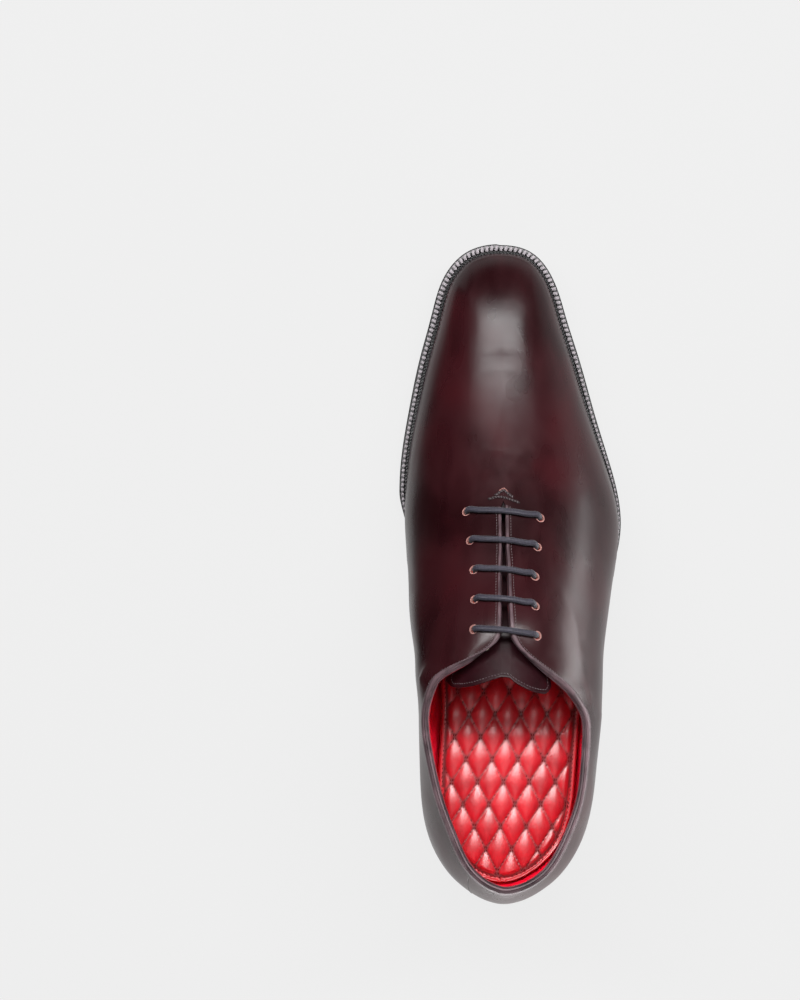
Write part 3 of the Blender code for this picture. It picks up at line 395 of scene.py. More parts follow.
# ---------------------------------------------------------------- the instep as a field of heights
class Instep:
    """Height and slope of the outside over the lacing, carried on across the slit."""

    def __init__(self):
        self.xs = np.arange(-40.0, 40.5, 1.0)
        self.ys = np.arange(96.0, 214.0, 1.0)
        ends = column_of(OUTER, 4), column_of(OUTER, 11)
        outer = ribs_between(*ends, fine=3)
        other = ribs_between(column_of(INNER, 11), column_of(INNER, 4), fine=3)
        shares = np.linspace(0.0, 60.0, 61)[None, :]
        trees = []
        for places in (outer, other):
            points = wall(places, np.minimum(shares, rib_length(places)[:, None]), 0.0)
            rows, columns = points.shape[:2]
            quads = [
                (i * columns + j, i * columns + j + 1, (i + 1) * columns + j + 1, (i + 1) * columns + j)
                for i in range(rows - 1) for j in range(columns - 1)
            ]
            trees.append(BVHTree.FromPolygons([tuple(p) for p in points.reshape(-1, 3)], quads))
        heights = np.array([[self.drop(trees, x, y) for x in self.xs] for y in self.ys])
        for row in heights:
            known = ~np.isnan(row)
            row[~known] = np.interp(self.xs[~known], self.xs[known], row[known])
        for _ in range(3):
            inner = heights[1:-1, 1:-1]
            ring = heights[:-2, 1:-1] + heights[2:, 1:-1] + heights[1:-1, :-2] + heights[1:-1, 2:]
            heights[1:-1, 1:-1] = 0.5 * inner + 0.125 * ring
        self.heights = heights

    @staticmethod
    def drop(trees, x, y):
        found = [tree.ray_cast((x, y, 200.0), (0.0, 0.0, -1.0))[0] for tree in trees]
        found = [place.z for place in found if place]
        return max(found) if found else np.nan

    def height(self, x, y):
        i = np.clip(y - self.ys[0], 0.0, len(self.ys) - 1.001)
        j = np.clip(x - self.xs[0], 0.0, len(self.xs) - 1.001)
        row, column = int(i), int(j)
        p, q = i - row, j - column
        low = self.heights[row, column] * (1 - q) + self.heights[row, column + 1] * q
        high = self.heights[row + 1, column] * (1 - q) + self.heights[row + 1, column + 1] * q
        return low * (1 - p) + high * p

    def normal(self, x, y):
        side = self.height(x + 1.5, y) - self.height(x - 1.5, y)
        length = self.height(x, y + 1.5) - self.height(x, y - 1.5)
        return Vector((-side / 3.0, -length / 3.0, 1.0)).normalized()

    def point(self, x, y, depth):
        """The point at a depth under the outside's point (x, y)."""
        return Vector((x, y, self.height(x, y))) - self.normal(x, y) * depth


# ---------------------------------------------------------------- building pieces
def grid(across, along):
    """A flat grid, and each vertex's whole-number place in it."""
    bm = bmesh.new()
    bmesh.ops.create_grid(bm, x_segments=across, y_segments=along, size=0.5)
    spots = [(round((v.co.x + 0.5) * across), round((v.co.y + 0.5) * along)) for v in bm.verts]
    return bm, spots


def lay(points, uv=None):
    """A grid whose vertices go where `points`, rows of rows of places, says."""
    points = np.asarray(points, float)
    bm, spots = grid(points.shape[0] - 1, points.shape[1] - 1)
    tag = bm.verts.layers.int.new("spot")
    for vert, (i, j) in zip(bm.verts, spots):
        vert.co = points[i, j]
        vert[tag] = i * points.shape[1] + j
    if uv is not None:
        layer = bm.loops.layers.uv.new("UVMap")
        width = points.shape[1]
        for face in bm.faces:
            for loop in face.loops:
                loop[layer].uv = uv[loop.vert[tag] // width, loop.vert[tag] % width]
    return bm


def thicken(bm, inner):
    """Gives a laid sheet its second face, whose vertices go where `inner` says."""
    bmesh.ops.remove_doubles(bm, verts=bm.verts, dist=0.002)
    tag = bm.verts.layers.int["spot"]
    width = inner.shape[1]
    made = bmesh.ops.extrude_face_region(bm, geom=bm.faces[:], use_keep_orig=True)
    for item in made["geom"]:
        if isinstance(item, bmesh.types.BMVert):
            item.co = inner[item[tag] // width, item[tag] % width]


def close_ends(bm):
    """Fills the open ends of a swept section."""
    bmesh.ops.remove_doubles(bm, verts=bm.verts, dist=0.002)
    open_edges = [edge for edge in bm.edges if edge.is_boundary]
    bmesh.ops.holes_fill(bm, edges=open_edges, sides=0)


def finish_piece(name, bm, finishes, body="shoe", replaces=(), angle=50.0):
    """Moves a bmesh to the frame's metres and makes it a piece that rides on its body."""
    bmesh.ops.remove_doubles(bm, verts=bm.verts, dist=0.002)
    bmesh.ops.recalc_face_normals(bm, faces=bm.faces)
    bmesh.ops.transform(bm, matrix=TO_FRAME, verts=bm.verts)
    mesh = bpy.data.meshes.new(name)
    bm.to_mesh(mesh)
    bm.free()
    mesh.shade_smooth()
    mesh.set_sharp_from_angle(angle=math.radians(angle))
    for finish in finishes:
        mesh.materials.append(finish)
    piece = bpy.data.objects.new(name, mesh)
    bpy.context.scene.collection.objects.link(piece)
    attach(piece, body)
    if replaces:
        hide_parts(*replaces)
    return piece


def evenly_along(points, pitch):
    """Points a fixed distance apart along a line, with the direction that it takes at each."""
    points = np.asarray(points, float)
    steps = np.linalg.norm(np.diff(points, axis=0), axis=1)
    travelled = np.concatenate([[0.0], np.cumsum(steps)])
    count = max(int(travelled[-1] / pitch), 1)
    stops = (np.arange(count) + 0.5) * travelled[-1] / count
    places = np.column_stack([np.interp(stops, travelled, points[:, k]) for k in range(3)])
    ahead = np.column_stack([np.interp(stops + 0.2, travelled, points[:, k]) for k in range(3)])
    behind = np.column_stack([np.interp(stops - 0.2, travelled, points[:, k]) for k in range(3)])
    ways = ahead - behind
    return places, ways / np.linalg.norm(ways, axis=1)[:, None]


def add_stitch(bm, place, way, up, size, turn=0.0):
    """One stitch: a short fat loop of thread, its length along `way`."""
    way, up = Vector(way), Vector(up).normalized()
    way = (way - up * way.dot(up)).normalized()
    turned = way @ Matrix.Rotation(turn, 3, up)
    axes = Matrix((turned, up.cross(turned), up)).transposed().to_4x4()
    shape = Matrix.Diagonal((*[0.5 * s for s in size], 1.0))
    bmesh.ops.create_icosphere(
        bm, subdivisions=1, radius=1.0, matrix=Matrix.Translation(Vector(place)) @ axes @ shape
    )


def add_tick(bm, place, way, size):
    """One welt stitch: a flat pad of thread that lies across the welt, a little slanted."""
    way = Vector(way).normalized()
    up = Vector((0.0, 0.0, 1.0))
    turned = (way @ Matrix.Rotation(0.2, 3, up)).normalized()
    axes = Matrix((turned, up.cross(turned), up)).transposed().to_4x4()
    matrix = Matrix.Translation(Vector(place)) @ axes @ Matrix.Diagonal((*size, 1.0))
    made = bmesh.ops.create_cube(bm, size=1.0, matrix=matrix)
    edges = {edge for vert in made["verts"] for edge in vert.link_edges}
    bmesh.ops.bevel(bm, geom=list(edges), offset=0.16, segments=1, profile=0.5, affect="EDGES",
                    material=-1)


# ---------------------------------------------------------------- finishes
class Finish:
    """A material being wired, with short names for the nodes that the finishes share."""

    def __init__(self, name, roughness, metallic=0.0):
        self.material = bpy.data.materials.new(name)
        self.material.use_nodes = True
        self.tree = self.material.node_tree
        self.shader = self.tree.nodes["Principled BSDF"]
        self.shader.inputs["Roughness"].default_value = roughness
        self.shader.inputs["Metallic"].default_value = metallic

    def add(self, kind, **settings):
        node = self.tree.nodes.new(kind)
        for key, value in settings.items():
            setattr(node, key, value)
        return node

    def join(self, output, socket):
        self.tree.links.new(output, socket)

    def fixed(self, **values):
        """Sets sockets of the shader; an underscore stands for a space."""
        for key, value in values.items():
            self.shader.inputs[key.replace("_", " ")].default_value = value

    def where(self, source="Object", stretch=(1.0, 1.0, 1.0)):
        """The coordinates that a pattern reads: the piece's own space or its own UV map."""
        coordinates = self.add("ShaderNodeTexCoord")
        mapping = self.add("ShaderNodeMapping")
        mapping.inputs["Scale"].default_value = stretch
        self.join(coordinates.outputs[source], mapping.inputs["Vector"])
        return mapping.outputs["Vector"]

    def noise(self, where, size, detail=3.0, twist=0.0):
        """Soft noise whose blots measure about `size` in the coordinates' units."""
        node = self.add("ShaderNodeTexNoise")
        node.inputs["Scale"].default_value = 1.0 / size
        node.inputs["Detail"].default_value = detail
        node.inputs["Distortion"].default_value = twist
        self.join(where, node.inputs["Vector"])
        return node.outputs["Fac"]

    def cells(self, where, size):
        """Distance to the nearest border between cells, as in leather's pebbled grain."""
        node = self.add("ShaderNodeTexVoronoi", feature="DISTANCE_TO_EDGE")
        node.inputs["Scale"].default_value = 1.0 / size
        self.join(where, node.inputs["Vector"])
        return node.outputs["Distance"]

    def waves(self, where, size, direction="X", twist=0.0):
        node = self.add("ShaderNodeTexWave", bands_direction=direction)
        node.inputs["Scale"].default_value = math.tau / (20.0 * size)
        node.inputs["Distortion"].default_value = twist
        self.join(where, node.inputs["Vector"])
        return node.outputs["Fac"]

    def between(self, value, low, high, new_low=0.0, new_high=1.0):
        """Stretches a range of values over another."""
        node = self.add("ShaderNodeMapRange", interpolation_type="SMOOTHSTEP")
        for key, number in zip(("From Min", "From Max", "To Min", "To Max"),
                               (low, high, new_low, new_high)):
            node.inputs[key].default_value = number
        self.join(value, node.inputs["Value"])
        return node.outputs["Result"]

    def mix(self, share, a, b):
        """A colour between two, each of them a colour or another node's output."""
        node = self.add("ShaderNodeMix", data_type="RGBA")
        self.join(share, node.inputs[0])
        for socket, colour in ((node.inputs[6], a), (node.inputs[7], b)):
            if isinstance(colour, bpy.types.NodeSocket):
                self.join(colour, socket)
            else:
                socket.default_value = (*colour[:3], 1.0)
        return node.outputs[2]

    def sum(self, *terms):
        """Adds up pairs of (output, weight)."""
        total = None
        for output, weight in terms:
            node = self.add("ShaderNodeMath", operation="MULTIPLY_ADD")
            self.join(output, node.inputs[0])
            node.inputs[1].default_value = weight
            if total is None:
                node.inputs[2].default_value = 0.0
            else:
                self.join(total, node.inputs[2])
            total = node.outputs[0]
        return total

    def colour(self, output):
        self.join(output, self.shader.inputs["Base Color"])

    def roughness(self, output):
        self.join(output, self.shader.inputs["Roughness"])

    def bump(self, height, depth):
        """Relief whose full height is `depth` metres."""
        node = self.add("ShaderNodeBump")
        node.inputs["Strength"].default_value = 1.0
        node.inputs["Distance"].default_value = depth
        self.join(height, node.inputs["Height"])
        self.join(node.outputs["Normal"], self.shader.inputs["Normal"])


def shade(colour, factor):
    return tuple(min(1.0, c * factor) for c in colour[:3])


def patina_calf(name, deep, middle, warm):
    """Hand-dyed calf: deep and warm clouds of dye, a fine grain and a hand-waxed gloss."""
    finish = Finish(name, 0.3)
    place = finish.where()
    clouds = finish.noise(place, 0.045, detail=1.5, twist=0.3)
    brushed = finish.noise(finish.where(stretch=(2.6, 1.0, 1.6)), 0.03, detail=2.0, twist=0.5)
    fine = finish.noise(place, 0.0035, detail=4.0)
    dye = finish.sum((clouds, 0.65), (brushed, 0.3), (fine, 0.08))
    body = finish.mix(finish.between(dye, 0.36, 0.62), deep, middle)
    red = finish.noise(finish.where(stretch=(1.0, 0.8, 1.0)), 0.036, detail=2.0, twist=0.4)
    finish.colour(finish.mix(finish.between(red, 0.50, 0.74, 0.0, 0.7), body, warm))
    finish.roughness(finish.between(brushed, 0.3, 0.7, 0.26, 0.33))
    pores = finish.cells(place, 0.0006)
    slow = finish.noise(place, 0.009, detail=2.0)
    finish.bump(finish.sum((pores, 0.35), (fine, 0.3), (slow, 1.7)), 0.00004)
    finish.fixed(IOR=1.27)
    return finish.material


def plain_leather(name, colour, roughness, clouds=0.012, pore=0.0007, depth=0.00005, spread=0.3, ior=1.33):
    """Smooth leather in one dye, with clouds, pores and an uneven gloss."""
    finish = Finish(name, roughness)
    place = finish.where()
    soft = finish.noise(place, clouds, detail=4.0, twist=0.4)
    finish.colour(finish.mix(finish.between(soft, 0.3, 0.7), shade(colour, 1.0 - spread),
                             shade(colour, 1.0 + spread)))
    fine = finish.noise(place, pore * 2.0, detail=3.0)
    finish.roughness(finish.between(fine, 0.3, 0.7, roughness - 0.05, roughness + 0.07))
    finish.bump(finish.sum((finish.cells(place, pore), 1.0), (fine, 0.8), (soft, 1.0)), depth)
    finish.fixed(IOR=ior)
    return finish.material


def thread(name, colour, roughness=0.6, ior=1.3):
    """Twisted thread: fine slanting strands and a slight unevenness of dye."""
    finish = Finish(name, roughness)
    place = finish.where()
    blots = finish.noise(place, 0.0012, detail=2.0)
    finish.colour(finish.mix(blots, shade(colour, 0.55), shade(colour, 1.45)))
    finish.bump(finish.noise(finish.where(stretch=(1.0, 1.0, 3.0)), 0.0002, detail=1.0), 0.00005)
    finish.fixed(Sheen_Weight=0.05, IOR=ior)
    return finish.material


def waxed_cord(name, colour):
    """Round woven lace: ribs round it, crossed by the yarns that run along it, under wax; its colour has
    shade painted between the ribs and highlight painted on them.
    """
    finish = Finish(name, 0.5)
    lengthwise = finish.where("UV")
    ribs = finish.waves(lengthwise, 0.062, "X")
    yarns = finish.waves(lengthwise, 0.0833, "Y", twist=0.6)
    weave = finish.sum((ribs, 0.6), (yarns, 0.4))
    worn = finish.noise(finish.where(), 0.004, detail=3.0)
    # painted shade and highlight: the weave's grooves are darkened and its ribs lightened, as light falls
    # on them
    weave_shade_and_highlight = finish.mix(finish.between(weave, 0.15, 0.85), shade(colour, 0.15), shade(colour, 1.6))
    finish.colour(finish.mix(finish.between(worn, 0.55, 0.8, 0.0, 0.35), weave_shade_and_highlight, shade(colour, 1.9)))
    finish.roughness(finish.between(worn, 0.3, 0.7, 0.42, 0.6))
    finish.bump(weave, 0.0002)
    finish.fixed(Sheen_Weight=0.05, IOR=1.3)
    return finish.material


def burnished_edge(name, colour):
    """The waxed and ironed edge: streaks along it, paler where the iron has rubbed."""
    finish = Finish(name, 0.42)
    finish.fixed(IOR=1.27)
    streaks = finish.noise(finish.where("UV", stretch=(0.12, 1.6, 1.0)), 0.35, detail=4.0)
    blots = finish.noise(finish.where(), 0.006, detail=3.0, twist=0.5)
    worn = finish.sum((streaks, 0.6), (blots, 0.4))
    finish.colour(finish.mix(finish.between(worn, 0.35, 0.65), shade(colour, 0.5), shade(colour, 1.5)))
    finish.roughness(finish.between(blots, 0.3, 0.7, 0.36, 0.5))
    finish.bump(streaks, 0.00006)
    return finish.material


def quilted_leather(name, colour, seam_shade_colour):
    """Soft padded leather, with shade painted into it where it is drawn down to the seams."""
    finish = Finish(name, 0.36)
    place = finish.where()
    depth = finish.add("ShaderNodeAttribute", attribute_name="puff")
    soft = finish.noise(place, 0.009, detail=4.0, twist=0.6)
    body = finish.mix(finish.between(soft, 0.3, 0.7), shade(colour, 0.82), shade(colour, 1.15))
    # painted shade: where the padding is drawn down, the seams' grooves take the darker seam colour
    finish.colour(finish.mix(finish.between(depth.outputs["Fac"], 0.02, 0.5), seam_shade_colour, body))
    creases = finish.noise(finish.where(stretch=(1.6, 1.0, 1.0)), 0.0016, detail=4.0, twist=1.0)
    worn = finish.between(creases, 0.3, 0.7, 0.34, 0.46)
    drawn = finish.between(depth.outputs["Fac"], 0.05, 0.4, 0.4, 0.0)
    finish.roughness(finish.sum((worn, 1.0), (drawn, 1.0)))
    grain = finish.cells(place, 0.0008)
    finish.bump(finish.sum((grain, 0.8), (creases, 1.6)), 0.00007)
    finish.fixed(Coat_Weight=0.4, Coat_Roughness=0.3)
    return finish.material


def grooved_welt(name, colour):
    """Blackened welt leather with dull wax in its grain."""
    finish = Finish(name, 0.42)
    place = finish.where()
    fine = finish.noise(place, 0.0009, detail=4.0)
    worn = finish.noise(place, 0.004, detail=3.0)
    finish.colour(finish.mix(finish.between(worn, 0.45, 0.75), colour, shade(colour, 2.6)))
    finish.roughness(finish.between(fine, 0.3, 0.7, 0.32, 0.55))
    finish.bump(finish.sum((fine, 1.0), (worn, 0.5)), 0.00009)
    return finish.material


def flesh_leather(name, colour, fibre=0.0012):
    """Uncoated leather, such as a sole's underside or a cut edge, with fibres and stains."""
    finish = Finish(name, 0.62)
    place = finish.where()
    fibres = finish.noise(finish.where(stretch=(1.0, 0.35, 1.0)), fibre, detail=5.0, twist=0.8)
    stains = finish.noise(place, 0.02, detail=3.0)
    tone = finish.sum((fibres, 0.5), (stains, 0.5))
    finish.colour(finish.mix(finish.between(tone, 0.35, 0.65), shade(colour, 0.7), shade(colour, 1.2)))
    finish.bump(fibres, 0.00008)
    return finish.material


def woven_canvas(name, colour):
    finish = Finish(name, 0.9)
    place = finish.where()
    warp = finish.waves(place, 0.0008, "X", twist=0.4)
    weft = finish.waves(place, 0.0008, "Z", twist=0.4)
    weave = finish.sum((warp, 0.5), (weft, 0.5))
    finish.colour(finish.mix(weave, shade(colour, 0.6), shade(colour, 1.2)))
    finish.bump(weave, 0.0002)
    return finish.material


def speckled(name, colour, roughness, size, depth, metallic=0.0, spread=0.35):
    """Granular or cast stuff: cork, foam, rubber and bare metal."""
    finish = Finish(name, roughness, metallic)
    place = finish.where()
    crumbs = finish.cells(place, size)
    blots = finish.noise(place, size * 4.0, detail=4.0)
    tone = finish.sum((crumbs, 0.8), (blots, 0.6))
    finish.colour(finish.mix(finish.between(tone, 0.2, 0.7), shade(colour, 1.0 - spread),
                             shade(colour, 1.0 + spread)))
    finish.roughness(finish.between(blots, 0.3, 0.7, roughness * 0.85, min(1.0, roughness * 1.15)))
    finish.bump(tone, depth)
    return finish.material


FINISHES = {}


def finish_named(name, make, *values, **named):
    if name not in FINISHES:
        FINISHES[name] = make(name, *values, **named)
    return FINISHES[name]


# ---------------------------------------------------------------- upper, its edges and its linings
NEAR_EDGE = (0.0, 0.5, 1.0, 1.6, 2.4, 3.4, 4.6, 6.0, 8.0)
VAMP_SPLIT = 2                 # columns past the slit's end where the quarters' lining stops


def rows_down(places, near, count):
    """Lengths below the edge: the close rows near it, then even rows down to the feather line."""
    length = rib_length(places)[:, None]
    share = np.linspace(0.0, 1.0, count + 1)[1:][None, :]
    close = np.broadcast_to(near, (len(places), len(near)))
    return np.concatenate([close, close[:, -1:] + (length - close[:, -1:]) * share], axis=1)


def wall_with_margin(places, below, depth):
    """The wall down to the feather line and on under the insole."""
    depth = np.broadcast_to(depth, below.shape)
    points = wall(places, below, depth)
    level = float(depth[0, -1])
    points[:, -1] = turned_in(places, level, level)
    margin = turned_in(places, MARGIN, level)[:, None]
    return np.concatenate([points, margin], axis=1)


def edge_uv(points, below):
    """UV in centimetres: along the edge, and down from it."""
    run = np.linalg.norm(np.diff(points[:, 0], axis=0), axis=1)
    along = np.concatenate([[0.0], np.cumsum(run)])[:, None] * np.ones((1, points.shape[1]))
    down = np.concatenate([below, below[:, -1:] + MARGIN], axis=1)
    return np.stack([along / 10.0, down / 10.0], axis=2)


def eyelet_spots(instep):
    """Place and outward direction of every lace hole, by side and row."""
    spots = {}
    for side in (OUTER, INNER):
        for row, span in enumerate(EYELET_SPAN):
            x, y = side * span, FIRST_EYELET - row * EYELET_PITCH - side * EYELET_SKEW
            spots[side, row] = (instep.point(x, y, 0.0), instep.normal(x, y))
    return spots


def punch_holes(piece, spots):
    """Cuts the lace holes through a finished piece."""
    bm = bmesh.new()
    for place, normal in spots.values():
        turn = normal.to_track_quat("Z", "Y").to_matrix().to_4x4()
        matrix = TO_FRAME @ Matrix.Translation(place) @ turn
        bmesh.ops.create_cone(
            bm, cap_ends=True, segments=24, radius1=HOLE_RADIUS, radius2=HOLE_RADIUS, depth=5.0,
            matrix=matrix,
        )
    mesh = bpy.data.meshes.new("hole_punch")
    bm.to_mesh(mesh)
    bm.free()
    punch = bpy.data.objects.new("hole_punch", mesh)
    bpy.context.scene.collection.objects.link(punch)
    modifier = piece.modifiers.new("holes", "BOOLEAN")
    modifier.operation = "DIFFERENCE"
    modifier.solver = "EXACT"
    modifier.object = punch
    bpy.context.view_layer.update()
    cut = bpy.data.meshes.new_from_object(piece.evaluated_get(bpy.context.evaluated_depsgraph_get()))
    piece.modifiers.clear()
    piece.data = cut
    bpy.data.objects.remove(punch)


# Fine creases across the vamp: (Y of the middle, slant, depth).
CAP_REACH = 21.0                # how far from the toe's pole its top is rounded off
CAP_INNER, CAP_OUTER = 0.42, 0.95   # shares of that between which the rounding fades out
CAP_TERMS = 5                   # terms of the surface that stands in for it, each way
CAP_FLOOR = 24.0                # height above which the leather belongs to the top of the toe
WAIST_Y, WAIST_Z = (84.0, 152.0), (22.0, 78.0)
RIDGE_ROUNDS, CREST_ROUNDS, WAIST_ROUNDS = 8, 24, 60    # passes that ease the leather there
VAMP_CREASES = ((247.0, 0.0, 0.06), (238.5, 0.06, 0.05), (201.0, -0.2, 0.08))


def round_off_toe(bm):
    """Carry the top of the toe smoothly over the place where the ribs of its two sides meet."""
    near = [v for v in bm.verts if v.co.z > CAP_FLOOR and math.dist(v.co[:2], TOE_POLE[:2]) < CAP_REACH]
    plan = np.array([(v.co.x, v.co.y - TOE_POLE[1]) for v in near]) / CAP_REACH
    height = np.array([v.co.z for v in near])
    away = np.hypot(*plan.T)
    powers = [(i, j) for i in range(CAP_TERMS) for j in range(CAP_TERMS - i)]
    terms = np.stack([plan[:, 0] ** i * plan[:, 1] ** j for i, j in powers], axis=1)
    outer = away > CAP_INNER
    weights = np.linalg.lstsq(terms[outer], height[outer], rcond=None)[0]
    share = 1.0 - smoothstep((away - CAP_INNER) / (CAP_OUTER - CAP_INNER))
    for vert, old, new, part in zip(near, height, terms @ weights, share):
        vert.co.z = old + part * (new - old)


def ease(bm, verts, rounds):
    """Draws the leather smooth over some of its vertices."""
    for _ in range(rounds):
        bmesh.ops.smooth_vert(bm, verts=verts, factor=0.5, use_axis_x=True, use_axis_y=True,
                              use_axis_z=True)


def make_upper(looks, spots):
    finish = finish_named("burgundy_calf", patina_calf, looks.calf_deep, looks.calf_middle,
                          looks.calf_warm)
    places = ribs_between(0, 2 * COLUMNS)
    below = rows_down(places, NEAR_EDGE, 50)
    outside = wall_with_margin(places, below, UPPER_AT[0])
    bm = lay(outside, edge_uv(outside, below))
    bmesh.ops.remove_doubles(bm, verts=bm.verts, dist=0.002)
    inner = [v for v in bm.verts if not v.is_boundary]
    ridge = [v for v in inner if v.co.y > 183.0 and v.co.z > CAP_FLOOR]
    crest = [v for v in ridge if abs(v.co.x) < 14.0 and v.co.y > 190.0]
    ease(bm, ridge, RIDGE_ROUNDS)
    ease(bm, crest, CREST_ROUNDS)
    round_off_toe(bm)
    waist = [v for v in inner if WAIST_Y[0] < v.co.y < WAIST_Y[1] and WAIST_Z[0] < v.co.z < WAIST_Z[1]]
    ease(bm, waist, WAIST_ROUNDS)
    for vert in ridge:
        for middle_y, bend, depth in VAMP_CREASES:
            off = vert.co.y - middle_y - bend * vert.co.x
            vert.co.z -= depth * math.exp(-(off / 0.9) ** 2 - (vert.co.x / 11.0) ** 4)
    thicken(bm, wall_with_margin(places, below, UPPER_AT[1]))
    piece = finish_piece("upper_leather", bm, [finish], replaces=["upper"])
    punch_holes(piece, spots)
    return piece


# (length below the edge, depth under the outside) round the burnished edge, starting at its lower
# outside corner: over the top, with two fine grooves there, and down the inside.
TOPLINE_SECTION = (
    (2.8, 0.3), (2.85, -0.1), (2.4, -0.42), (1.2, -0.52), (0.2, -0.44), (-0.4, -0.1),
    (-0.66, 0.42), (-0.28, 0.62), (-0.66, 0.84), (-0.76, 1.2), (-0.68, 1.62), (-0.3, 1.82),
    (-0.66, 2.04), (-0.5, 2.5), (0.3, 3.0), (1.6, 2.7), (0.6, 1.3),
)
LACING_SECTION = (
    (1.15, 0.25), (1.18, -0.02), (1.0, -0.14), (0.6, -0.2), (0.22, -0.14), (0.0, 0.02),
    (-0.1, 0.3), (-0.12, 0.5), (-0.12, 0.8), (-0.12, 1.2), (-0.12, 1.6), (-0.12, 2.0),
    (-0.12, 2.5), (-0.08, 3.2), (0.0, 3.9), (0.5, 3.9), (0.5, 1.3),
)
RAW_EDGE_FROM = 13             # first place in those lists where the lining's cut edge shows


def slit_ends():
    """The columns at which the burnished edge and its stitches start and stop, by the slit's end."""
    back = 0.28
    return column_of(INNER, VAMP_RIB) - 2 * COLUMNS + back, column_of(OUTER, VAMP_RIB) - back


def make_edge_band(looks):
    finish = finish_named("burnished_edge", burnished_edge, looks.edge)
    places = ribs_between(*slit_ends())
    share = topline_share(places)
    section = [
        np.array(LACING_SECTION)[None, :, k] * (1 - share) + np.array(TOPLINE_SECTION)[None, :, k] * share
        for k in (0, 1)
    ]
    below, depth = (np.concatenate([part, part[:, :1]], axis=1) for part in section)
    points = wall(places, below, depth)
    run = np.linalg.norm(np.diff(points[:, 0], axis=0), axis=1)
    along = np.concatenate([[0.0], np.cumsum(run)])[:, None] * np.ones((1, points.shape[1]))
    around = np.arange(points.shape[1])[None, :] * np.ones((len(places), 1)) * 0.06
    bm = lay(points, np.stack([along / 10.0, around], axis=2))
    tag = bm.verts.layers.int["spot"]
    width = points.shape[1]
    for face in bm.faces:
        around = sorted(vert[tag] % width for vert in face.verts)
        face.material_index = 1 if around[0] >= RAW_EDGE_FROM and around[-1] <= RAW_EDGE_FROM + 2 else 0
    close_ends(bm)
    raw = finish_named("raw_red_edge", flesh_leather, looks.raw_lining, 0.0005)
    return finish_piece(
        "burnished_edge_band", bm, [finish, raw], replaces=["topline_band"], angle=40.0
    )


def make_edge_stitches(looks):
    """The row of stitches that follows the top line and both lacing edges."""
    finish = finish_named("grey_thread", thread, looks.thread)
    places = ribs_between(*slit_ends())
    share = topline_share(places)
    below = 2.0 * (1 - share) + 3.6 * share
    line = wall(places, below, -0.02)[:, 0]
    lifted = wall(places, below, -1.0)[:, 0]
    spots, ways = evenly_along(line, looks.stitch_pitch)
    bm = bmesh.new()
    for spot, way in zip(spots, ways):
        nearest = np.argmin(((line - spot) ** 2).sum(axis=1))
        up = lifted[nearest] - line[nearest]
        add_stitch(bm, spot, way, up, (looks.stitch_pitch * 0.78, 0.42, 0.36), 0.22)
    return finish_piece("edge_stitches", bm, [finish])


def make_lining(looks):
    """The quarters' lining, which comes out to meet the upper under the burnished edge."""
    finish = finish_named("red_lining", plain_leather, looks.lining, 0.36)
    first = round(column_of(INNER, VAMP_RIB)) - VAMP_SPLIT - 2 * COLUMNS
    last = round(column_of(OUTER, VAMP_RIB)) + VAMP_SPLIT
    places = ribs_between(first, last, 4)
    below = rows_down(places, (0.4, 1.0, 2.0, 3.5, 5.0, 7.0, 9.0, 12.0), 22)
    settle = smoothstep((below - 1.5) / 9.0)
    met = topline_share(places) * (1.0 - settle)
    depth = LINING_AT[0] - (LINING_AT[0] - 1.5) * met
    thick = LINING_AT[1] - LINING_AT[0]
    outside = wall_with_margin(places, below, depth)
    bm = lay(outside, edge_uv(outside, below))
    thicken(bm, wall_with_margin(places, below, depth + thick))
    return finish_piece("quarter_lining", bm, [finish], replaces=["lining_quarters"])


def make_back_seam(looks):
    """The closed seam of the one-piece upper, just to the inner side of the heel's middle."""
    finish = finish_named("dark_thread", thread, shade(looks.calf_deep, 0.6))
    knot = LAST[INNER].knots[1]
    count = 60
    below = np.linspace(3.4, 74.0, count)
    line = []
    for k, down in enumerate(below):
        u = knot * (1.08 - 0.72 * (k / (count - 1)) ** 0.8)
        line.append(wall([(INNER, u)], np.array([[down]]), 0.02)[0, 0])
    bm = sweep(line, lambda *_: 0.2, 6)
    return finish_piece("back_seam", bm, [finish])


def make_hole_rims(looks, spots):
    """The raw cut wall of each lace hole."""
    finish = finish_named("raw_cut_leather", flesh_leather, looks.raw_edge, 0.0006)
    profile = ((HOLE_RADIUS - 0.05, 0.14), (HOLE_RADIUS + 0.22, 0.1), (HOLE_RADIUS + 0.25, -0.2),
               (HOLE_RADIUS, -1.5), (HOLE_RADIUS - 0.4, -1.5), (HOLE_RADIUS - 0.36, -0.2))
    bm = bmesh.new()
    for place, normal in spots.values():
        ring = bmesh.ops.create_circle(bm, cap_ends=False, radius=1.0, segments=len(profile))["verts"]
        for vert, (out, up) in zip(ring, profile):
            vert.co = (out, 0.0, up)
        edges = list({edge for vert in ring for edge in vert.link_edges})
        bmesh.ops.spin(bm, geom=ring + edges, cent=(0, 0, 0), axis=(0, 0, 1), angle=math.tau,
                       steps=20, use_merge=True)
        fresh = [vert for vert in bm.verts if not vert.tag]
        matrix = Matrix.Translation(place) @ normal.to_track_quat("Z", "Y").to_matrix().to_4x4()
        bmesh.ops.transform(bm, matrix=matrix, verts=fresh)
        for vert in fresh:
            vert.tag = True
    return finish_piece("lace_hole_rims", bm, [finish])


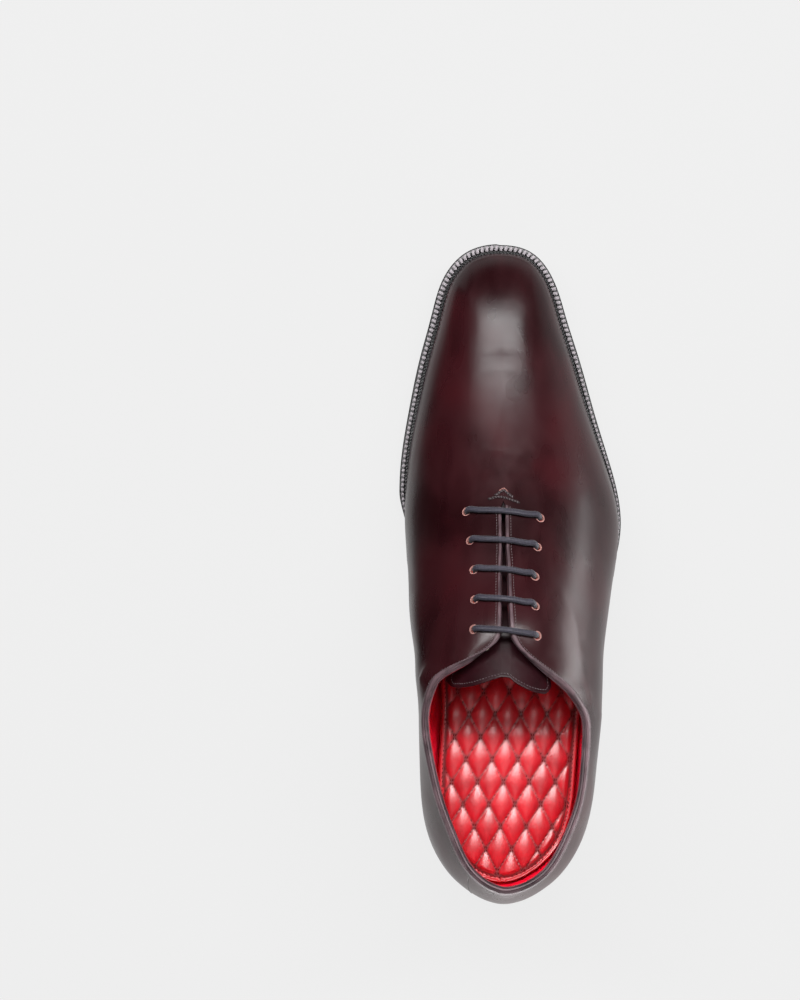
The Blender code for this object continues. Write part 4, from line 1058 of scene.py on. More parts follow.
# ---------------------------------------------------------------- cords
def sweep(line, radius, sides, uv_scale=10.0):
    """A closed tube along a line; radius is a function of the length so far and the angle."""
    line = np.asarray(line, float)
    steps = np.linalg.norm(np.diff(line, axis=0), axis=1)
    travelled = np.concatenate([[0.0], np.cumsum(steps)])
    ways = np.gradient(line, axis=0)
    ways /= np.linalg.norm(ways, axis=1)[:, None]
    side = np.cross(ways[0], (0.0, 0.0, 1.0))
    if np.linalg.norm(side) < 1e-3:
        side = np.cross(ways[0], (1.0, 0.0, 0.0))
    rings = np.zeros((len(line), sides + 1, 3))
    uv = np.zeros((len(line), sides + 1, 2))
    for k, way in enumerate(ways):
        side = side - way * side.dot(way)
        side /= np.linalg.norm(side)
        up = np.cross(side, way)
        for j in range(sides + 1):
            angle = math.tau * j / sides
            out = side * math.cos(angle) + up * math.sin(angle)
            rings[k, j] = line[k] + out * radius(travelled[k], angle)
            uv[k, j] = (travelled[k] / uv_scale, j / sides)
    bm = lay(rings, uv)
    close_ends(bm)
    return bm


def smooth_line(points, spacing):
    """A rounded curve through the points, read off at an even spacing."""
    points = np.asarray(points, float)
    chord = np.sqrt(np.linalg.norm(np.diff(points, axis=0), axis=1))
    knots = np.concatenate([[0.0], np.cumsum(chord)])
    first, last = (points[1] - points[0]) / chord[0], (points[-1] - points[-2]) / chord[-1]
    curve = clamped_spline(knots, points, first, last)
    dense = curve(np.linspace(0.0, knots[-1], len(points) * 24))
    travelled = np.concatenate([[0.0], np.cumsum(np.linalg.norm(np.diff(dense, axis=0), axis=1))])
    stops = np.linspace(0.0, travelled[-1], max(int(travelled[-1] / spacing), 2))
    return np.column_stack([np.interp(stops, travelled, dense[:, k]) for k in range(3)])


BAR_LIFT = LACE_RADIUS + 0.35
RUN_DEPTH = 6.6
BAR_BOW = 1.0


class Lace:
    """The lace's route, hole by hole, as it is threaded."""

    def __init__(self, instep, spots):
        self.instep = instep
        self.spots = spots
        self.route = []

    def through(self, side, row, going_in, over, under):
        """Passes one hole; `over` and `under` are where the lace comes from and goes to."""
        place, normal = self.spots[side, row]
        above = along_surface(over - place, normal)
        below = along_surface(under - place, normal)
        steps = [
            place + above * 3.0 + normal * BAR_LIFT,
            place + above * 1.6 + normal * (BAR_LIFT - 0.45),
            place + above * 0.55 - normal * 0.5,
            place + above * 0.3 - normal * 4.4,
            place + below * 1.1 - normal * (RUN_DEPTH - 0.35),
            place + below * 2.7 - normal * RUN_DEPTH,
        ]
        self.route += steps if going_in else steps[::-1]

    def bar(self, start, row):
        """Crosses the tongue on the outside, from one side's hole to the other's."""
        a, b = self.spots[start, row][0], self.spots[-start, row][0]
        for f in (0.17, 0.34, 0.5, 0.66, 0.83):
            plan = a.lerp(b, f)
            y = plan.y + BAR_BOW * math.sin(math.pi * f)
            self.route.append(self.instep.point(plan.x, y, -BAR_LIFT))

    def run(self, side, row_from, row_to, x):
        """Goes from one hole to another of the same side, under the lining."""
        a, b = self.spots[side, row_from][0], self.spots[side, row_to][0]
        count = abs(row_to - row_from)
        for k in range(1, count + 1):
            y = a.y + (b.y - a.y) * k / (count + 1)
            self.route.append(self.instep.point(side * x, y, RUN_DEPTH))


def along_surface(direction, normal):
    direction = direction - normal * direction.dot(normal)
    return direction.normalized()


def make_lace(looks, instep, spots):
    """Five straight bars. One half makes bars 2 and 4, the other bars 3 and 5, and bar 1 joins them."""
    finish = finish_named("waxed_cord", waxed_cord, looks.lace)
    lace = Lace(instep, spots)
    spot = {key: value[0] for key, value in spots.items()}
    deep = instep.point
    tail_a = [deep(OUTER * 20.5, y, RUN_DEPTH) for y in (172.0, 160.0, 148.0)]
    tail_b = [deep(INNER * 26.5, y, RUN_DEPTH) for y in (152.0, 141.0, 131.0)]
    lace.route += tail_a
    lace.through(OUTER, 3, False, spot[INNER, 3], tail_a[-1])
    lace.bar(OUTER, 3)
    lace.through(INNER, 3, True, spot[OUTER, 3], deep(INNER * 9.0, 142.0, RUN_DEPTH))
    lace.run(INNER, 3, 1, 8.2)
    lace.through(INNER, 1, False, spot[OUTER, 1], deep(INNER * 9.0, 156.0, RUN_DEPTH))
    lace.bar(INNER, 1)
    lace.through(OUTER, 1, True, spot[INNER, 1], spot[OUTER, 0])
    lace.through(OUTER, 0, False, spot[INNER, 0], spot[OUTER, 1])
    lace.bar(OUTER, 0)
    lace.through(INNER, 0, True, spot[OUTER, 0], deep(INNER * 21.0, 166.0, RUN_DEPTH))
    lace.run(INNER, 0, 2, 19.6)
    lace.through(INNER, 2, False, spot[OUTER, 2], deep(INNER * 21.0, 157.0, RUN_DEPTH))
    lace.bar(INNER, 2)
    lace.through(OUTER, 2, True, spot[INNER, 2], deep(OUTER * 9.0, 140.0, RUN_DEPTH))
    lace.run(OUTER, 2, 4, 8.2)
    lace.through(OUTER, 4, False, spot[INNER, 4], deep(OUTER * 9.0, 128.0, RUN_DEPTH))
    lace.bar(OUTER, 4)
    lace.through(INNER, 4, True, spot[OUTER, 4], tail_b[-1])
    lace.route += tail_b[::-1]
    rib = looks.lace_rib
    line = smooth_line(lace.route, rib / 4.0)

    def radius(travelled, _):
        ribbed = 0.08 * math.cos(math.tau * travelled / rib)
        return LACE_RADIUS - 0.06 + ribbed

    bm = sweep(line, radius, 12)
    piece = finish_piece("woven_lace", bm, [finish], replaces=["lace"], angle=80.0)
    for name in ("aglet_outer", "aglet_inner"):
        dress(name, finish_named("aglet_plastic", speckled, looks.lace, 0.3, 0.0004, 0.00001))
    return piece


# ---------------------------------------------------------------- tongue
TONGUE_DEPTH = 8.6
TONGUE_THICK = (1.1, 0.9)
TONGUE_ROOT = 187.0
TONGUE_WING = 99.5
TONGUE_DIP = 5.0
THROAT_SEAT = 122.0
INSTEP_CLIMB = 0.45


def tongue_plan(f, s):
    """Plan place for a share across (-1 to 1) and a share from the root to the winged end."""
    side = OUTER if f > 0 else INNER
    half_width = 23.0 + (3.5 if side == OUTER else 10.5) * s**4
    corner = max(0.0, abs(f) - 0.86) / 0.14
    x = f * half_width
    drop = 3.0 * float(smoothstep(x / 24.0)) + 1.0 * float(smoothstep(-x / 26.0))
    rear = TONGUE_WING - drop + TONGUE_DIP * math.exp(-(((x + 4.5) / 17.0) ** 2)) + 2.8 * corner**2.5
    return x, TONGUE_ROOT + (rear - TONGUE_ROOT) * s


def tongue_point(instep, f, s, depth):
    """The tongue follows the instep, and runs straight on where it stands out of the throat."""
    x, y = tongue_plan(f, s)
    seated = max(y, THROAT_SEAT)
    place = instep.point(x, seated, depth)
    return place + Vector((0.0, y - seated, -INSTEP_CLIMB * (y - seated)))


def make_tongue(looks, instep):
    across, along = 64, 96
    shares_across = np.linspace(-1.0, 1.0, across + 1)
    shares_along = np.linspace(0.0, 1.0, along + 1)
    layers = (
        ("tongue_leather", "tongue_face", "dark_calf", 0.0, TONGUE_THICK[0], 1.0,
         finish_named("dark_calf", plain_leather, looks.tongue, 0.34, spread=0.25, ior=1.2)),
        ("tongue_back", "tongue_lining", "red_lining", TONGUE_THICK[0] + 0.02, TONGUE_THICK[1], 0.975,
         finish_named("red_lining", plain_leather, looks.lining, 0.36)),
    )
    for name, node, slot, start, thick, reach, finish in layers:
        sheets = []
        for depth in (TONGUE_DEPTH + start, TONGUE_DEPTH + start + thick):
            sheets.append(np.array([
                [tongue_point(instep, f * reach, s * reach, depth) for s in shares_along]
                for f in shares_across
            ]))
        bm = lay(sheets[0])
        thicken(bm, sheets[1])
        rim = [e for e in bm.edges if len(e.link_faces) == 2 and e.calc_face_angle() > 1.0]
        bmesh.ops.bevel(bm, geom=rim, offset=0.25, segments=2, profile=0.5, affect="EDGES",
                        material=-1)
        finish_piece(name, bm, [finish], body="tongue", replaces=[node])
    stitches = bmesh.new()
    inset_s, inset_f = 0.982, 0.945
    rim = [(-inset_f, s) for s in np.linspace(0.86, inset_s - 0.012, 20)]
    rim += [(f, inset_s) for f in np.linspace(-inset_f + 0.04, inset_f - 0.04, 80)]
    rim += [(inset_f, s) for s in np.linspace(inset_s - 0.012, 0.86, 20)]
    line = [tongue_point(instep, f, s, TONGUE_DEPTH - 0.05) for f, s in rim]
    spots, ways = evenly_along(line, looks.stitch_pitch)
    for spot, way in zip(spots, ways):
        add_stitch(stitches, spot, way, instep.normal(spot[0], THROAT_SEAT),
                   (looks.stitch_pitch * 0.75, 0.36, 0.3), 0.2)
    finish_piece("tongue_stitches", stitches, [finish_named("grey_thread", thread, looks.thread)],
                 body="tongue")


# ---------------------------------------------------------------- bar tack
def make_bar_tack(looks, instep):
    """The sewn arrow that stops the slit from tearing."""
    arrow = [(-3.6, 181.6), (-1.7, 182.9), (0.2, 184.0), (2.1, 182.5), (4.2, 180.9)]
    foot = [(-6.6, 179.9), (-3.3, 180.9), (0.1, 180.8), (3.6, 179.7), (7.2, 178.4)]
    pale = finish_named("grey_thread", thread, looks.thread)
    dark = finish_named("dark_thread", thread, shade(looks.calf_deep, 0.6))
    warm = finish_named("warm_thread", thread, looks.raw_edge)
    for name, finish, first in (("bar_tack_dark", dark, 0), ("bar_tack_pale", pale, 1)):
        satin = bmesh.new()
        for corners in (arrow, foot):
            line = smooth_line([instep.point(x, y, -0.35) for x, y in corners], 0.1)
            spots, ways = evenly_along(line, 0.62)
            for k in range(first, len(spots), 2):
                lean = (1.25, 0.8, 1.0)[k % 3]
                length = (2.1, 1.5, 1.8, 1.3)[k % 4]
                add_stitch(satin, spots[k], ways[k], instep.normal(spots[k][0], spots[k][1]),
                           (length, 0.62, 0.66), lean)
        replaced = ["bar_tack"] if first else []
        finish_piece(name, satin, [finish], replaces=replaced)
    bound = smooth_line([instep.point(0.0, y, 2.1) for y in (180.6, 179.0, 177.2, 175.4)], 0.2)
    finish_piece("slit_binding", sweep(bound, lambda *_: 1.0, 8), [dark])
    over = smooth_line([instep.point(x, y + 0.9, -0.15) for x, y in arrow[1:4]], 0.2)
    finish_piece("bar_tack_edge", sweep(over, lambda *_: 0.2, 6), [warm])


# ---------------------------------------------------------------- padded sock
def sock_edge():
    """The sock's outline in plan, from heel to toe on each side, as its CAD solid has it."""
    corners = np.array([TO_SHOE @ v.co for v in frame["nodes"]["sock_cover"].data.vertices])
    plan = np.unique(np.round(corners[:, :2], 2), axis=0)
    sides = {}
    for side in (OUTER, INNER):
        mine = plan[(plan[:, 0] * side > -0.5)]
        mine = mine[np.argsort(mine[:, 1])]
        sides[side] = mine
    return sides


QUILT_START = (2.2, 72.75)      # a crossing of two seams
QUILT_LEAN = 0.07              # how far the pattern leans to the outer side on the way to the toe


def quilt_height(x, y, border, looks):
    """How far the padding stands up between its seams, and how near to a seam a place is."""
    x = x - QUILT_LEAN * (y - QUILT_START[1]) - QUILT_START[0]
    a = x / looks.quilt_width + (y - QUILT_START[1]) / looks.quilt_length
    b = x / looks.quilt_width - (y - QUILT_START[1]) / looks.quilt_length
    spacing = 1.0 / math.hypot(1.0 / looks.quilt_width, 1.0 / looks.quilt_length)
    near_a = np.abs(a - np.round(a)) * spacing
    near_b = np.abs(b - np.round(b)) * spacing
    pillow = (np.abs(np.sin(math.pi * a)) * np.abs(np.sin(math.pi * b))) ** 0.5
    needles = 6.0
    dimples = np.exp(-near_a / 0.9) * np.cos(math.tau * needles * b)
    dimples += np.exp(-near_b / 0.9) * np.cos(math.tau * needles * a)
    inside = smoothstep((border - 2.2) / 2.6)
    return pillow * inside, 0.09 * dimples * inside


def make_sock(looks):
    finish = finish_named("red_quilt", quilted_leather, looks.sock, looks.seam_thread_and_shade)
    edge = sock_edge()
    back = min(edge[side][0, 1] for side in edge) + 0.4
    front = max(edge[side][-1, 1] for side in edge) - 0.4
    along, across = 400, 84
    ys = back + (front - back) * 0.5 * (1.0 - np.cos(math.pi * np.linspace(0.0, 1.0, along + 1)))
    right = np.interp(ys, edge[OUTER][:, 1], edge[OUTER][:, 0]) - 0.3
    left = np.interp(ys, edge[INNER][:, 1], edge[INNER][:, 0]) + 0.3
    right[[0, -1]] = left[[0, -1]] = (right[[0, -1]] + left[[0, -1]]) / 2
    share = np.linspace(0.0, 1.0, across + 1)
    x = left[:, None] + (right - left)[:, None] * share[None, :]
    y = np.broadcast_to(ys[:, None], x.shape)
    rim = np.concatenate([np.column_stack([right, ys]), np.column_stack([left, ys])])
    border = np.array([
        np.sqrt(((rim[:, None, 0] - row_x[None]) ** 2 + (rim[:, None, 1] - row_y[None]) ** 2).min(axis=0))
        for row_x, row_y in zip(x, y)
    ])
    puff, dimples = quilt_height(x, y, border, looks)
    bead = 0.45 * np.exp(-(((border - 0.6) / 0.5) ** 2)) - 0.35 * np.exp(-(((border - 1.8) / 0.4) ** 2))
    base = sole_height(y) + SOCK_AT + 1.2
    top = base + looks.quilt_puff * puff + dimples + bead - 0.5 * smoothstep(1.0 - border / 0.5)
    outside = np.stack([x, y, top], axis=2)
    under = np.stack([x, y, sole_height(y) + SOCK_AT], axis=2)
    bm = lay(outside)
    tag = bm.verts.layers.int["spot"]
    # the puff mark also sets where the sock's material paints shade into the seams; the flat border stays
    # out of it
    mark = bm.verts.layers.float.new("puff")
    flat_puff = (puff + (border < 2.2) * 0.6).ravel()
    for vert in bm.verts:
        vert[mark] = flat_puff[vert[tag]]
    thicken(bm, under)
    piece = finish_piece("quilted_sock", bm, [finish], replaces=["sock_cover"], angle=70.0)
    make_sock_stitches(looks, edge)
    return piece


def make_sock_stitches(looks, edge):
    """Needle stitches in the quilting seams and round the sock's border."""
    finish = finish_named("red_thread", thread, looks.seam_thread_and_shade, 0.6, 1.12)
    outline = np.concatenate([edge[OUTER], edge[INNER][::-1]])
    bm = bmesh.new()
    side_length = math.hypot(looks.quilt_width, looks.quilt_length) / 2
    for family in (1, -1):
        for number in range(-12, 26):
            for step in range(-40, 90):
                other = step / 6.0 + 1.0 / 12.0
                a, b = (number, other) if family == 1 else (other, number)
                x = (a + b) / 2 * looks.quilt_width
                y = (a - b) / 2 * looks.quilt_length + QUILT_START[1]
                x += QUILT_LEAN * (y - QUILT_START[1]) + QUILT_START[0]
                if not 4.0 < y < 140.0:
                    continue
                right = np.interp(y, edge[OUTER][:, 1], edge[OUTER][:, 0])
                left = np.interp(y, edge[INNER][:, 1], edge[INNER][:, 0])
                gap = np.sqrt(((outline - (x, y)) ** 2).sum(axis=1)).min()
                if not left + 2.4 < x < right - 2.4 or gap < 2.4:
                    continue
                z = float(sole_height(y)) + SOCK_AT + 1.38
                way = (looks.quilt_width, -family * looks.quilt_length, 0.0)
                lean = 0.75 if step % 2 else 0.35
                size = (side_length / 6.0 * 0.74, 0.62, 0.6)
                add_stitch(bm, (x, y, z), way, (0, 0, 1), size, lean * family)
    inset = []
    for x, y in outline:
        middle = np.array([0.5 * (np.interp(y, edge[OUTER][:, 1], edge[OUTER][:, 0])
                                  + np.interp(y, edge[INNER][:, 1], edge[INNER][:, 0])),
                           np.clip(y, 35.0, 250.0)])
        inward = middle - (x, y)
        inward /= np.linalg.norm(inward)
        place = np.array([x, y]) + inward * 2.1
        inset.append((*place, float(sole_height(place[1])) + SOCK_AT + 0.98))
    inset.append(inset[0])
    spots, ways = evenly_along(inset, 2.0)
    for spot, way in zip(spots, ways):
        if spot[1] < 140.0:
            add_stitch(bm, spot, way, (0, 0, 1), (1.4, 0.5, 0.4), 0.2)
    return finish_piece("sock_stitches", bm, [finish])


# ---------------------------------------------------------------- welt, sole and heel
# How the welt widens on each side: (millimetres added, (where it starts, over what length)).
WELT_RUNS = {
    OUTER: ((1.1, (138.0, 32.0)), (1.9, (165.0, 80.0))),
    INNER: ((2.7, (166.0, 18.0)), (0.7, (190.0, 60.0))),
}


def welt_width(side, place):
    """How far the sole's edge stands outside the feather line: close at waist and heel."""
    width = 1.2
    for added, (start, run) in WELT_RUNS[side]:
        share = min(max((place[1] - start) / run, 0.0), 1.0)
        width += added * share * share * (3.0 - 2.0 * share)
    return width


# (share of the welt's visible width, or millimetres inside the feather line; height above the
# sole's underside) round the welt's section.
WELT_SECTION = (
    (-7.0, 5.3), (-7.0, 8.25), (-0.5, 8.3), (0.04, 8.2), (0.1, 7.75), (0.34, 7.7), (0.4, 8.1),
    (0.46, 8.26), (0.8, 8.26), (0.86, 8.1), (0.9, 8.06), (0.94, 8.2), (0.985, 8.05), (1.0, 7.8),
    (1.0, 5.6), (0.97, 5.35),
)


def edge_points(places, section):
    """Points of a section swept along the edge of the sole."""
    points = np.zeros((len(places), len(section) + 1, 3))
    for i, (side, u) in enumerate(places):
        half = LAST[side]
        place, outward = half.feather(u)[0], half.outward(np.array([u]))[0]
        width = float(welt_width(side, place))
        for j, (share, height) in enumerate((*section, section[0])):
            x, y = place + outward * (share * width if share > 0 else share)
            points[i, j] = (x, y, float(sole_height(y)) + height)
    return points


def breast_columns():
    """The first and last whole column in front of the heel's breast."""
    inside = []
    for column in range(2 * COLUMNS):
        side, u = half_and_u(column)
        if LAST[side].feather(u)[0][1] > HEEL_BREAST - 6.0:
            inside.append(column)
    return min(inside), max(inside)


def make_welt(looks):
    finish = finish_named("welt_leather", grooved_welt, looks.welt)
    first, last = breast_columns()
    for name, node, ends in (
        ("grooved_welt", "welt", (first, last)),
        ("grooved_rand", "heel_rand", (last - 2 * COLUMNS + 0.03, first - 0.03)),
    ):
        bm = lay(edge_points(ribs_between(*ends), WELT_SECTION))
        close_ends(bm)
        finish_piece(name, bm, [finish], replaces=[node], angle=35.0)
    places = ribs_between(first + 2, last - 2)
    ridge = edge_points(places, ((0.62, 8.33), (0.9, 8.33)))
    spots, ways = evenly_along(ridge[:, 0], looks.welt_pitch)
    bm = bmesh.new()
    for spot, way in zip(spots, ways):
        nearest = np.argmin(((ridge[:, 0] - spot) ** 2).sum(axis=1))
        width = np.linalg.norm(ridge[nearest, 1] - ridge[nearest, 0]) / 0.28
        # the pale stitches are real thread, but their widening towards the toe is a painted highlight
        # where light catches the welt's front
        share = 0.34 + 0.18 * float(smoothstep((spot[1] - 235.0) / 40.0))
        add_tick(bm, spot, way, (looks.welt_pitch * 0.62, share * width, 0.5))
    pale = finish_named("welt_thread", thread, looks.welt_thread, 0.5)
    finish_piece("welt_stitches", bm, [pale])
    rope = edge_points(places, ((0.22, 7.85), (0.22, 8.85)))
    spots, ways = evenly_along(rope[:, 0], 1.5)
    bm = bmesh.new()
    for spot, way in zip(spots, ways):
        add_stitch(bm, spot, way, (0, 0, 1), (1.7, 0.75, 0.7), 0.6)
    black = finish_named("black_thread", thread, looks.welt, 0.45)
    finish_piece("welt_rope", bm, [black])


def dress(name, finish):
    """Gives a CAD node its finish."""
    node = frame["nodes"][name]
    node.data.materials.clear()
    node.data.materials.append(finish)


def dress_structure(looks):
    """Finishes of the pieces that keep their CAD shape."""
    heel = finish_named("heel_leather", plain_leather, looks.heel, 0.34, clouds=0.006, spread=0.4)
    edge = finish_named("sole_edge", plain_leather, looks.heel, 0.36, clouds=0.008, spread=0.4)
    sole = finish_named("sole_leather", flesh_leather, looks.sole)
    insole = finish_named("insole_leather", flesh_leather, shade(looks.sole, 1.3), 0.002)
    rubber = finish_named("rubber", speckled, (0.018, 0.018, 0.019), 0.75, 0.0006, 0.00004)
    brass = finish_named("brass", speckled, (0.62, 0.42, 0.16), 0.32, 0.0008, 0.00001, metallic=1.0)
    steel = finish_named("steel", speckled, (0.5, 0.5, 0.52), 0.34, 0.0008, 0.00001, metallic=1.0)
    canvas = finish_named("canvas", woven_canvas, (0.55, 0.5, 0.4))
    cork = finish_named("cork", speckled, (0.36, 0.21, 0.1), 0.9, 0.0015, 0.0002, spread=0.5)
    foam = finish_named("foam", speckled, (0.68, 0.62, 0.46), 0.95, 0.0006, 0.0001, spread=0.15)
    lining = finish_named("red_lining", plain_leather, looks.lining, 0.36)
    looks_by_start = {
        "heel_lift": heel, "heel_top_piece_leather": sole, "heel_top_piece_rubber": rubber,
        "heel_nail": steel, "top_piece_pin": brass, "outsole": edge, "insole_rib": canvas,
        "insole": insole, "shank": steel, "cork_filler": cork, "sock_foam": foam,
        "toe_puff": canvas, "heel_counter": canvas, "side_stay": canvas, "facing_stay": canvas,
        "lining_vamp": lining, "eyelet": brass,
    }
    for name in frame["nodes"]:
        starts = [start for start in looks_by_start if name.startswith(start)]
        if starts:
            dress(name, looks_by_start[max(starts, key=len)])
    bottom = frame["nodes"]["outsole"].data
    bottom.materials.append(sole)
    for face in bottom.polygons:
        face.material_index = 1 if face.normal.z < -0.7 else 0


# ---------------------------------------------------------------- stage
CAMERA_PLACE = (-0.0510, 0.0315, 1.5)
LENS = 116.1


# (name, place, what it points at, size in metres, power in watts)
STUDIO_LIGHTS = (
    ("toe_softbox", (0.0, 0.62, 1.35), (0.0, 0.1, 0.04), (2.8, 0.22), 92.0),
    ("top_softbox", (0.0, 0.3, 1.75), (0.0, -0.05, 0.04), (0.9, 0.4), 6.0),
    ("outer_softbox", (1.1, -0.5, 0.2), (0.0, -0.03, 0.05), (0.9, 0.34), 11.0),
    ("outer_floor_panel", (0.38, -0.14, 0.01), (0.38, -0.14, 1.0), (0.42, 0.5), 6.5),
    ("rear_floor_panel", (0.0, -0.44, 0.01), (0.0, -0.44, 1.0), (0.5, 0.44), 6.5),
    ("heel_softbox", (0.0, -0.95, 1.3), (0.0, -0.05, 0.04), (2.0, 1.0), 10.0),
)
FLOOR_GLOW = 0.918             # how much of the floor's colour it gives off by itself


def area_light(name, place, target, size, power):
    light = bpy.data.lights.new(name, "AREA")
    light.shape = "RECTANGLE"
    light.size, light.size_y = size
    light.energy = power
    lamp = bpy.data.objects.new(name, light)
    lamp.location = place
    lamp.rotation_euler = (Vector(target) - Vector(place)).to_track_quat("-Z", "Y").to_euler()
    lamp.visible_camera = False
    bpy.context.scene.collection.objects.link(lamp)


def make_camera():
    camera = bpy.data.cameras.new("camera")
    camera.lens = LENS
    camera.sensor_width = 36.0
    camera.clip_end = 50.0
    obj = bpy.data.objects.new("camera", camera)
    obj.location = CAMERA_PLACE
    bpy.context.scene.collection.objects.link(obj)
    bpy.context.scene.camera = obj


def make_floor(colour):
    """A pale studio sweep that gives off most of its own light, so that it stays even."""
    bm = bmesh.new()
    bmesh.ops.create_grid(bm, x_segments=1, y_segments=1, size=6.0)
    mesh = bpy.data.meshes.new("floor")
    bm.to_mesh(mesh)
    bm.free()
    floor = bpy.data.objects.new("floor", mesh)
    floor.location.z = -0.0002
    bpy.context.scene.collection.objects.link(floor)
    material = bpy.data.materials.new("floor_paper")
    material.use_nodes = True
    shader = material.node_tree.nodes["Principled BSDF"]
    shader.inputs["Base Color"].default_value = (0.02, 0.02, 0.02, 1.0)
    shader.inputs["Roughness"].default_value = 1.0
    shader.inputs["Specular IOR Level"].default_value = 0.0
    shader.inputs["Emission Color"].default_value = (*colour[:3], 1.0)
    shader.inputs["Emission Strength"].default_value = FLOOR_GLOW
    mesh.materials.append(material)


def make_flag():
    """A dark card on the arch side, out of the camera's sight, as another shoe beside this one is."""
    bm = bmesh.new()
    bmesh.ops.create_grid(bm, x_segments=1, y_segments=1, size=0.5)
    bmesh.ops.scale(bm, vec=(0.22, 0.09, 1.0), verts=bm.verts)
    bmesh.ops.rotate(bm, cent=(0.0, 0.0, 0.0), verts=bm.verts,
                     matrix=Matrix.Rotation(math.pi / 2, 3, "Z") @ Matrix.Rotation(math.pi / 2, 3, "X"))
    mesh = bpy.data.meshes.new("flag")
    bm.to_mesh(mesh)
    bm.free()
    flag = bpy.data.objects.new("flag", mesh)
    flag.location = (-0.078, 0.05, 0.045)
    flag.visible_camera = flag.visible_shadow = flag.visible_diffuse = False
    bpy.context.scene.collection.objects.link(flag)
    card = bpy.data.materials.new("dark_card")
    card.use_nodes = True
    shader = card.node_tree.nodes["Principled BSDF"]
    shader.inputs["Base Color"].default_value = (0.012, 0.004, 0.005, 1.0)
    shader.inputs["Roughness"].default_value = 1.0
    mesh.materials.append(card)


def make_world():
    """Studio surroundings: a dim room that is a little lighter near the floor."""
    world = bpy.data.worlds.new("studio")
    bpy.context.scene.world = world
    world.use_nodes = True
    tree = world.node_tree
    background = tree.nodes["Background"]
    coordinates = tree.nodes.new("ShaderNodeTexCoord")
    parts = tree.nodes.new("ShaderNodeSeparateXYZ")
    ramp = tree.nodes.new("ShaderNodeValToRGB")
    tree.links.new(coordinates.outputs["Generated"], parts.inputs[0])
    tree.links.new(parts.outputs["Z"], ramp.inputs[0])
    tree.links.new(ramp.outputs["Color"], background.inputs["Color"])
    stops = ((0.0, 0.3), (0.08, 0.2), (0.2, 0.08), (0.5, 0.05), (1.0, 0.06))
    elements = ramp.color_ramp.elements
    while len(elements) < len(stops):
        elements.new(0.5)
    for element, (place, level) in zip(elements, stops):
        element.position = place
        element.color = (level, level, level, 1.0)


def make_stage(looks):
    make_camera()
    make_floor(looks.floor)
    make_world()
    make_flag()
    for light in STUDIO_LIGHTS:
        area_light(*light)
    bpy.context.scene.view_settings.view_transform = "Standard"


# ---------------------------------------------------------------- settings and operators
def colour_setting(name, description, default):
    return bpy.props.FloatVectorProperty(
        name=name, description=description, default=default, subtype="COLOR", size=3, min=0.0, max=1.0
    )


def size_setting(name, description, default):
    return bpy.props.FloatProperty(name=name, description=description, default=default, min=0.05)


class OxfordLooks(bpy.types.PropertyGroup):
    """Colours, and sizes in millimetres, that a maker would change."""

    calf_deep: colour_setting("Deep dye", "Darkest dye of the upper", (0.0068, 0.0009, 0.0014))
    calf_middle: colour_setting("Middle dye", "Main dye of the upper", (0.0150, 0.0026, 0.0036))
    calf_warm: colour_setting("Warm dye", "Reddest dye of the upper", (0.021, 0.0026, 0.0038))
    edge: colour_setting("Edge", "Burnished edge of the top line", (0.044, 0.027, 0.031))
    tongue: colour_setting("Tongue", "Leather of the tongue", (0.0085, 0.0017, 0.0026))
    lining: colour_setting("Lining", "Smooth red lining", (0.6, 0.004, 0.021))
    sock: colour_setting("Sock", "Quilted red sock", (0.31, 0.0042, 0.0098))
    # one colour for the thread of the sock's seams and for the shade painted into their grooves
    seam_thread_and_shade: colour_setting("Sock seams", "Drawn-down seams and their thread", (0.085, 0.0009, 0.0026))
    lace: colour_setting("Lace", "Waxed lace", (0.0175, 0.0155, 0.0235))
    thread: colour_setting("Thread", "Edge stitching", (0.055, 0.042, 0.045))
    raw_edge: colour_setting("Raw leather", "Cut edges of the lace holes", (0.2, 0.088, 0.076))
    raw_lining: colour_setting("Raw lining", "Cut edge of the red lining", (0.165, 0.0165, 0.025))
    welt: colour_setting("Welt", "Blackened welt", (0.0045, 0.004, 0.0045))
    welt_thread: colour_setting("Welt thread", "Stitches of the welt", (0.16, 0.145, 0.155))
    heel: colour_setting("Heel", "Blackened heel and sole edge", (0.006, 0.0045, 0.0045))
    sole: colour_setting("Sole", "Leather of the sole's underside", (0.2, 0.115, 0.06))
    floor: colour_setting("Floor", "Pale studio floor", (0.871, 0.871, 0.871))
    stitch_pitch: size_setting("Stitch", "Length of one stitch of the edge row", 1.4)
    quilt_width: size_setting("Quilt width", "Width of one diamond of the sock", 11.7)
    quilt_length: size_setting("Quilt length", "Length of one diamond of the sock", 20.3)
    quilt_puff: size_setting("Quilt height", "How far the padding stands up", 2.0)
    lace_rib: size_setting("Lace rib", "Distance between two ribs of the lace", 0.62)
    welt_pitch: size_setting("Welt stitch", "Length of one stitch of the welt", 2.2)


class ShoeStep:
    """What every building step shares."""

    bl_options = {"REGISTER"}

    def execute(self, context):
        self.build(context.scene.oxford_looks)
        return {"FINISHED"}


SHARED = {}


def shared_instep():
    if "instep" not in SHARED:
        SHARED["instep"] = Instep()
        SHARED["spots"] = eyelet_spots(SHARED["instep"])
    return SHARED["instep"], SHARED["spots"]


class OXFORD_OT_stage(ShoeStep, bpy.types.Operator):
    """Sets up the camera, the floor and the lights"""

    bl_idname = "oxford.stage"
    bl_label = "Stage"

    def build(self, looks):
        make_stage(looks)


class OXFORD_OT_lace(ShoeStep, bpy.types.Operator):
    """Threads the woven lace through its ten holes"""

    bl_idname = "oxford.lace"
    bl_label = "Lace"

    def build(self, looks):
        make_lace(looks, *shared_instep())


class OXFORD_OT_upper(ShoeStep, bpy.types.Operator):
    """Lasts the one-piece upper and punches its lace holes"""

    bl_idname = "oxford.upper"
    bl_label = "Upper"

    def build(self, looks):
        _, spots = shared_instep()
        make_upper(looks, spots)
        make_hole_rims(looks, spots)
        make_back_seam(looks)


